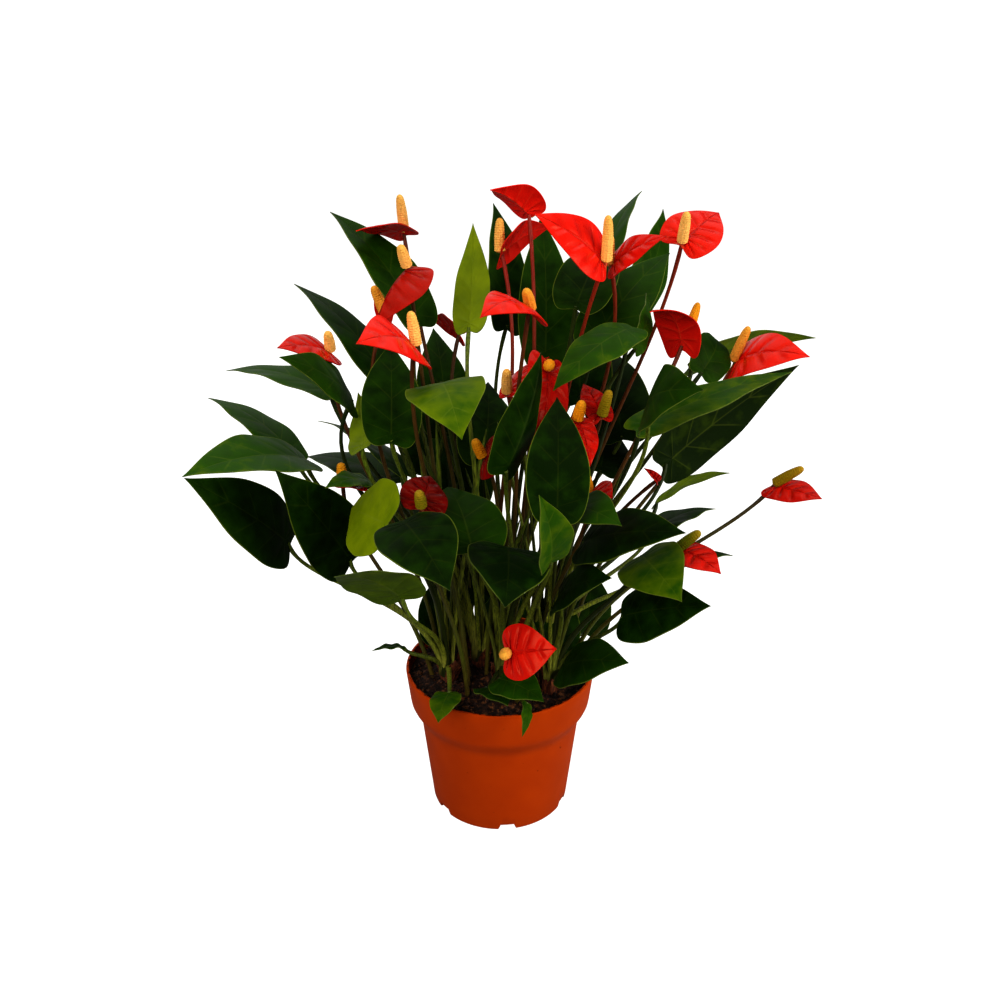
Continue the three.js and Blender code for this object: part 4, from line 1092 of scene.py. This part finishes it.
class ANTHURIUM_OT_pot(bpy.types.Operator):
    """Adds the moulded pot with its rolled lip, band and drain notches"""
    bl_idname = "anthurium.pot"
    bl_label = "Pot"

    def execute(self, context):
        sizes = context.scene.anthurium_pot
        shell = turn_round(self.outside(sizes), POT_SIDES)
        for index in range(sizes.notches):
            self.cut(shell, self.notch(sizes, index, 0))
        hollow = turn_round(self.inside(sizes), POT_SIDES)
        for index in range(sizes.notches):
            self.cut(hollow, self.notch(sizes, index, sizes.wall))
        self.cut(shell, hollow)
        add_modifier(shell, "BEVEL", width=ROUNDING, segments=2, limit_method="ANGLE",
                     angle_limit=math.radians(40))
        pot = join([shell], "plant_pot")
        smooth(pot, 35)
        pot.data.materials.clear()
        pot.data.materials.append(pot_plastic(sizes))
        settle(pot, "pot", "pot")
        return {"FINISHED"}

    @staticmethod
    def radius(sizes, z):
        """The outside radius at a height."""
        band = sizes.height - sizes.collar_height
        return float(np.interp(z, [0, sizes.shoulder_height, band, sizes.height],
                               [sizes.foot_radius, sizes.shoulder_radius, sizes.collar_radius,
                                sizes.rim_radius]))

    @classmethod
    def outside(cls, sizes):
        """The outer profile, from the middle of the foot to the middle of the top."""
        band = sizes.height - sizes.collar_height
        foot, edge = sizes.foot_radius - sizes.foot_round, cls.radius(sizes, sizes.foot_round)
        turns = [math.radians(angle) for angle in (0, 30, 60, 90)]
        profile = [(0, 0), (foot * 0.5, 0)]
        profile += [(foot + (edge - foot) * math.sin(a),
                     sizes.foot_round * (1 - math.cos(a))) for a in turns]
        for z in np.linspace(sizes.foot_round, sizes.shoulder_height - 2 * SWING, 6)[1:]:
            profile.append((cls.radius(sizes, z), z))
        # The wall swings out to the band in a soft S.
        for share in np.linspace(0, 1, 8):
            start, end = sizes.shoulder_height - SWING, band + SWING / 3
            low, high = cls.radius(sizes, start), cls.radius(sizes, end)
            profile.append((low + (high - low) * share * share * (3 - 2 * share),
                            start + share * (end - start)))
        for z in np.linspace(band + SWING, sizes.height - ROLL_START, 4):
            profile.append((cls.radius(sizes, z), z))
        top = cls.radius(sizes, sizes.height)
        profile += [(top - inward, sizes.height - down) for inward, down in ROLL]
        return profile + [(0, sizes.height)]

    @classmethod
    def inside(cls, sizes):
        """The profile of the hollow, from its floor up through the open top."""
        band = sizes.height - sizes.collar_height
        foot = sizes.foot_radius - sizes.foot_round
        profile = [(0, sizes.floor), (foot, sizes.floor)]
        for z in (sizes.floor + sizes.foot_round, sizes.shoulder_height, band,
                  sizes.height - LIP_DEPTH):
            profile.append((cls.radius(sizes, z) - sizes.wall, z))
        top = cls.radius(sizes, sizes.height) - sizes.lip
        return profile + [(top, sizes.height - PAST), (top + LIP_BEVEL, sizes.height + PAST),
                          (0, sizes.height + PAST)]

    @staticmethod
    def notch(sizes, index, grow):
        """A cutter for one drain notch, grown by a clearance."""
        deselect()
        depth = sizes.notch_depth * 2
        bpy.ops.mesh.primitive_cube_add(
            size=1, location=(0, grow - sizes.foot_radius, (sizes.notch_height + grow - PAST) / 2),
            scale=(sizes.notch_width + 2 * grow, depth, sizes.notch_height + grow + PAST))
        cutter = bpy.context.object
        bpy.ops.object.transform_apply(location=True, rotation=True, scale=True)
        places = coordinates(cutter.data)
        upper = places[:, 2] > 0
        top = sizes.notch_width * 2 / 3 + 2 * grow
        places[upper, 0] *= top / (sizes.notch_width + 2 * grow)
        turn = sizes.notch_turn + index * 2 * math.pi / sizes.notches
        spin = np.array([[math.cos(turn), math.sin(turn)], [-math.sin(turn), math.cos(turn)]])
        places[:, :2] = places[:, :2] @ spin
        move_vertices(cutter.data, places)
        return cutter

    @staticmethod
    def cut(piece, cutter):
        """Takes the cutter away from the piece."""
        add_modifier(piece, "BOOLEAN", operation="DIFFERENCE", object=cutter, solver="EXACT")
        bpy.data.objects.remove(cutter)


class ANTHURIUM_OT_soil(bpy.types.Operator):
    """Adds the mounded peat and the loose crumbs on it"""
    bl_idname = "anthurium.soil"
    bl_label = "Peat"

    def execute(self, context):
        sizes = context.scene.anthurium_pot
        radius = ANTHURIUM_OT_pot.radius
        band = sizes.height - sizes.collar_height
        gap = sizes.wall + PEAT["play"]
        floor = sizes.floor + PEAT["play"]
        profile = [(0, floor), (sizes.foot_radius - sizes.foot_round - PEAT["bevel"], floor)]
        for z in (floor + sizes.foot_round, sizes.shoulder_height, band, sizes.peat_edge):
            profile.append((radius(sizes, z) - gap, z))
        edge = radius(sizes, sizes.peat_edge) - gap
        for share in np.linspace(1, 0, 30)[1:]:
            profile.append((edge * share, soil_level(edge * share / MM, 0, sizes) * MM))
        mound = turn_round(profile, PEAT["sides"])
        places = coordinates(mound.data)
        for index, (x, y, z) in enumerate(places):
            if z > sizes.peat_edge - 0.0001:
                away = edge - math.hypot(x, y)
                lift = noise.fractal(Vector((x, y, 0.3)) * PEAT["lumps"], 1.0, 2.0, 4)
                lift *= PEAT["lift"] * min(1, away / PEAT["fade"])
                places[index, 2] += lift - PEAT["sunk"]
        move_vertices(mound.data, places)
        peat = damp_peat(sizes)
        mound.data.materials.append(peat)
        pieces = [mound] + self.scatter(sizes, edge, peat)
        soil = join(pieces, "peat")
        smooth(soil, 60)
        settle(soil, "soil", "soil")
        return {"FINISHED"}

    @staticmethod
    def scatter(sizes, edge, material):
        """Loose crumbs and bits of fibre, from a few shaped once and copied with their meshes."""
        draw = random.Random(5)
        deselect()
        bpy.ops.mesh.primitive_ico_sphere_add(subdivisions=1, radius=1)
        first = bpy.context.object
        shape = coordinates(first.data).copy()
        pieces = []
        for _ in range(sizes.crumbs):
            away = edge * CRUMB["spread"] * math.sqrt(draw.random())
            turn = draw.uniform(0, 2 * math.pi)
            x, y = away * math.cos(turn), away * math.sin(turn)
            size = sizes.crumb * draw.uniform(*CRUMB["size"]) ** 1.5
            stretch = np.array([draw.uniform(*CRUMB["stretch"]) for _ in range(3)])
            if draw.random() < CRUMB["fibres"]:
                stretch = np.array(CRUMB["fibre"])
            lumps = 1 + CRUMB["lumps"] * np.array([[draw.uniform(-1, 1)] for _ in shape])
            heading = draw.uniform(0, math.pi)
            spin = np.array([[math.cos(heading), math.sin(heading), 0],
                             [-math.sin(heading), math.cos(heading), 0], [0, 0, 1]])
            places = shape * lumps * (stretch * min(size, sizes.crumb)) @ spin
            level = soil_level(x / MM, y / MM, sizes) * MM
            crumb = bpy.data.objects.new("crumb", first.data.copy())
            bpy.context.collection.objects.link(crumb)
            reach = float(np.abs(places[:, :2]).max())
            pull = min(1, (edge - reach) / max(away, 1e-6))
            middle = np.array([x * pull, y * pull, level - CRUMB["sunk"]])
            move_vertices(crumb.data, places + middle)
            crumb.data.materials.append(material)
            pieces.append(crumb)
        bpy.data.objects.remove(first)
        return pieces


class ANTHURIUM_OT_leaves(bpy.types.Operator):
    """Adds the crowns: their short stems, leaf stalks and glossy leaves"""
    bl_idname = "anthurium.leaves"
    bl_label = "Leaves"

    def execute(self, context):
        sizes = context.scene.anthurium_leaves
        pot = context.scene.anthurium_pot
        skins = [leaf_green(sizes), leaf_underside(sizes), leaf_edge()]
        stalk_skin, dry = leaf_stalk(sizes), bract_paper()
        for name, (stem, rows) in CROWNS.items():
            x, y = stem
            level = soil_level(x, y, pot)
            base = np.array([(x, y, level - STALK["depth"]), (x, y, level + 2),
                             (x, y, level + CROWN["rise"])])
            pieces = [wrap_round(base, [CROWN["radius"], CROWN["radius"], CROWN["shoulder"]],
                                 CROWN["sides"])]
            pieces[0].data.materials.append(dry)
            draw = random.Random(int(3 * x + 11 * y))
            for row in rows + SHADOW_LEAVES.get(name, []):
                blade = place_blade(row, BLADE)
                leaf = add_blade(blade, sizes.thickness, skins)
                paint(leaf.data, "tone", row["tone"])
                turn = math.atan2(blade["joint"].y - y, blade["joint"].x - x)
                foot = Vector((x + CROWN["spread"] * math.cos(turn),
                               y + CROWN["spread"] * math.sin(turn),
                               level + CROWN["rise"] / 2))
                line = stalk_line(foot, blade)
                stalk = add_stalk(line, sizes.foot / MM, sizes.top / MM, stalk_skin)
                paint(stalk.data, "tone", draw.random() ** DARK_STALKS)
                pieces += [leaf, stalk]
            pieces += self.bracts(sizes, x, y, level, dry)
            pieces += self.shoots(sizes, x, y, level, stalk_skin)
            crown = join(pieces, "crown_" + name)
            smooth(crown, 50)
            settle(crown, "leaf", "leaves_" + name)
        return {"FINISHED"}

    @staticmethod
    def shoots(sizes, x, y, level, material):
        """Young leaves, still rolled into spears on thin stalks, that stand up through a crown."""
        draw = random.Random(int(5 * x - 3 * y))
        made = []
        for index in range(sizes.shoots):
            turn = index * NEXT_TURN + draw.uniform(-SHOOT["stray"], SHOOT["stray"])
            height, lean = draw.uniform(*SHOOT["height"]), draw.uniform(*SHOOT["lean"])
            share = np.linspace(0, 1, SHOOT["points"])
            away = SHOOT["ring"] + height * lean * share ** 1.4
            points = np.stack([x + away * math.cos(turn), y + away * math.sin(turn),
                               level + 3 + height * share], axis=1)
            shoot = wrap_round(points, np.interp(share, *SPEAR), SHOOT["sides"])
            paint(shoot.data, "tone", draw.random())
            shoot.data.materials.append(material)
            made.append(shoot)
        return made

    @staticmethod
    def bracts(sizes, x, y, level, material):
        """Dry pointed bracts that stand round the foot of a crown."""
        draw = random.Random(int(7 * x + y))
        made = []
        for index in range(sizes.bracts):
            piece, across, along = add_grid(6, 10)
            turn = index * NEXT_TURN + draw.uniform(-BRACT["stray"], BRACT["stray"])
            height, lean = draw.uniform(*BRACT["height"]), draw.uniform(*BRACT["lean"])
            half = BRACT["half"] * (1 - along ** 2.2) * (1 - 0.25 * along)
            angle = turn + across * half / CROWN["radius"]
            away = CROWN["radius"] + BRACT["curl"] + lean * height * along ** 1.6
            away += BRACT["curl"] * np.cos(5 * across)
            move_vertices(piece.data, np.stack([
                x + away * np.cos(angle), y + away * np.sin(angle), level - 3 + height * along],
                axis=1) * MM)
            weld(piece)
            piece.data.materials.append(material)
            add_modifier(piece, "SOLIDIFY", thickness=BRACT["thickness"] * MM, offset=0)
            made.append(piece)
        return made


class ANTHURIUM_OT_flowers(bpy.types.Operator):
    """Adds the flowers: each red spathe on its stalk"""
    bl_idname = "anthurium.flowers"
    bl_label = "Flowers"

    def execute(self, context):
        sizes = context.scene.anthurium_flowers
        pot = context.scene.anthurium_pot
        back = spathe_back(sizes)
        skins = [spathe_red(sizes), back, back]
        stalk_skin = flower_stalk(sizes)
        for index, row in enumerate(FLOWERS, 1):
            blade = place_blade(row, SPATHE)
            spathe = add_blade(blade, sizes.thickness, skins, 22, 66)
            paint(spathe.data, "shade", row["shade"])
            x, y = row["stem"]
            foot = Vector((x, y, soil_level(x, y, pot) - STALK["depth"]))
            stalk = add_stalk(stalk_line(foot, blade), sizes.foot / MM, sizes.top / MM, stalk_skin,
                              sheath=0.0, knee=0.25)
            paint(stalk.data, "flush", row["flush"])
            flower = join([spathe, stalk], "spathe_%02d" % index)
            smooth(flower, 60)
            settle(flower, "spathe", "flower_%02d" % index)
        return {"FINISHED"}


class ANTHURIUM_OT_spadices(bpy.types.Operator):
    """Adds the spadices, each covered with its florets"""
    bl_idname = "anthurium.spadices"
    bl_label = "Spadices"

    def execute(self, context):
        sizes = context.scene.anthurium_flowers
        skin = spadix_skin()
        for index, row in enumerate(FLOWERS, 1):
            if "rod" not in row:
                continue
            blade = place_blade(row, SPATHE)
            joint, long = blade["joint"], row["size"]
            tip = seen_from(joint, row["rod"], long, blade["rod_to"])
            heading = (tip - joint).normalized()
            normal = (blade["out"] - blade["along"] * 4 * blade["arch"]).normalized()
            lean = math.sqrt(max(0, 1 - heading.dot(normal) ** 2))
            gap = FLORETS["gap"] * MM
            start = joint + normal * ((sizes.thickness / 2 + gap + sizes.rod_foot * lean) / MM)
            share = np.linspace(0, 1, FLORETS["points"]) ** FLORETS["crowded"]
            bend = np.sin(math.pi * share)[:, None] * np.array(normal) * FLORETS["bend"] * long
            points = np.array(start) + share[:, None] * np.array(heading) * long + bend
            piece = wrap_round(points, self.radii(sizes, share, long), FLORETS["sides"], share)
            paint(piece.data, "ripe", row["ripe"])
            piece.data.materials.append(skin)
            rod = join([piece], "floret_rod_%02d" % index)
            smooth(rod, 80)
            settle(rod, "spadix", "spadix_%02d" % index)
        return {"FINISHED"}

    @staticmethod
    def radii(sizes, share, long):
        """The radius at each point and side: a tapered rod with florets in crossing spirals."""
        foot, full, tip = sizes.rod_foot / MM, sizes.rod_radius / MM, sizes.rod_tip / MM
        body = np.interp(share, [0, 0.06, 0.5, 1], [foot, full, full * 0.96, tip])
        body *= np.sqrt(1 - share ** FLORETS["blunt"]).clip(0.02)
        turn = FLORETS["spirals"] * np.linspace(0, 2 * math.pi, FLORETS["sides"], endpoint=False)
        up = math.pi * long / FLORETS["pitch"] * share[:, None]
        florets = (np.cos(turn + up) * np.cos(turn - up) + 1) / 2
        return body[:, None] * (1 + FLORETS["relief"] * (florets - 0.5))


class ANTHURIUM_PT_panel(bpy.types.Panel):
    """Lists what the plant is made of"""
    bl_idname = "ANTHURIUM_PT_panel"
    bl_label = "Potted anthurium"
    bl_space_type = "VIEW_3D"
    bl_region_type = "UI"
    bl_category = "Anthurium"

    def draw(self, context):
        for operator in OPERATORS:
            self.layout.operator(operator.bl_idname)


GROUPS = {
    "anthurium_pot": PotSizes,
    "anthurium_leaves": LeafSizes,
    "anthurium_flowers": FlowerSizes,
    "anthurium_stage": StageLooks,
}
OPERATORS = (
    ANTHURIUM_OT_stage,
    ANTHURIUM_OT_pot,
    ANTHURIUM_OT_soil,
    ANTHURIUM_OT_leaves,
    ANTHURIUM_OT_flowers,
    ANTHURIUM_OT_spadices,
)
CLASSES = (*GROUPS.values(), *OPERATORS, ANTHURIUM_PT_panel)


def register():
    for made in CLASSES:
        bpy.utils.register_class(made)
    for name, group in GROUPS.items():
        setattr(bpy.types.Scene, name, bpy.props.PointerProperty(type=group))


def unregister():
    for name in GROUPS:
        delattr(bpy.types.Scene, name)
    for made in reversed(CLASSES):
        bpy.utils.unregister_class(made)


def main():
    """Registers the tools and makes every piece."""
    register()
    for name in ("stage", "pot", "soil", "leaves", "flowers", "spadices"):
        getattr(bpy.ops.anthurium, name)()


if __name__ == "__main__":
    main()
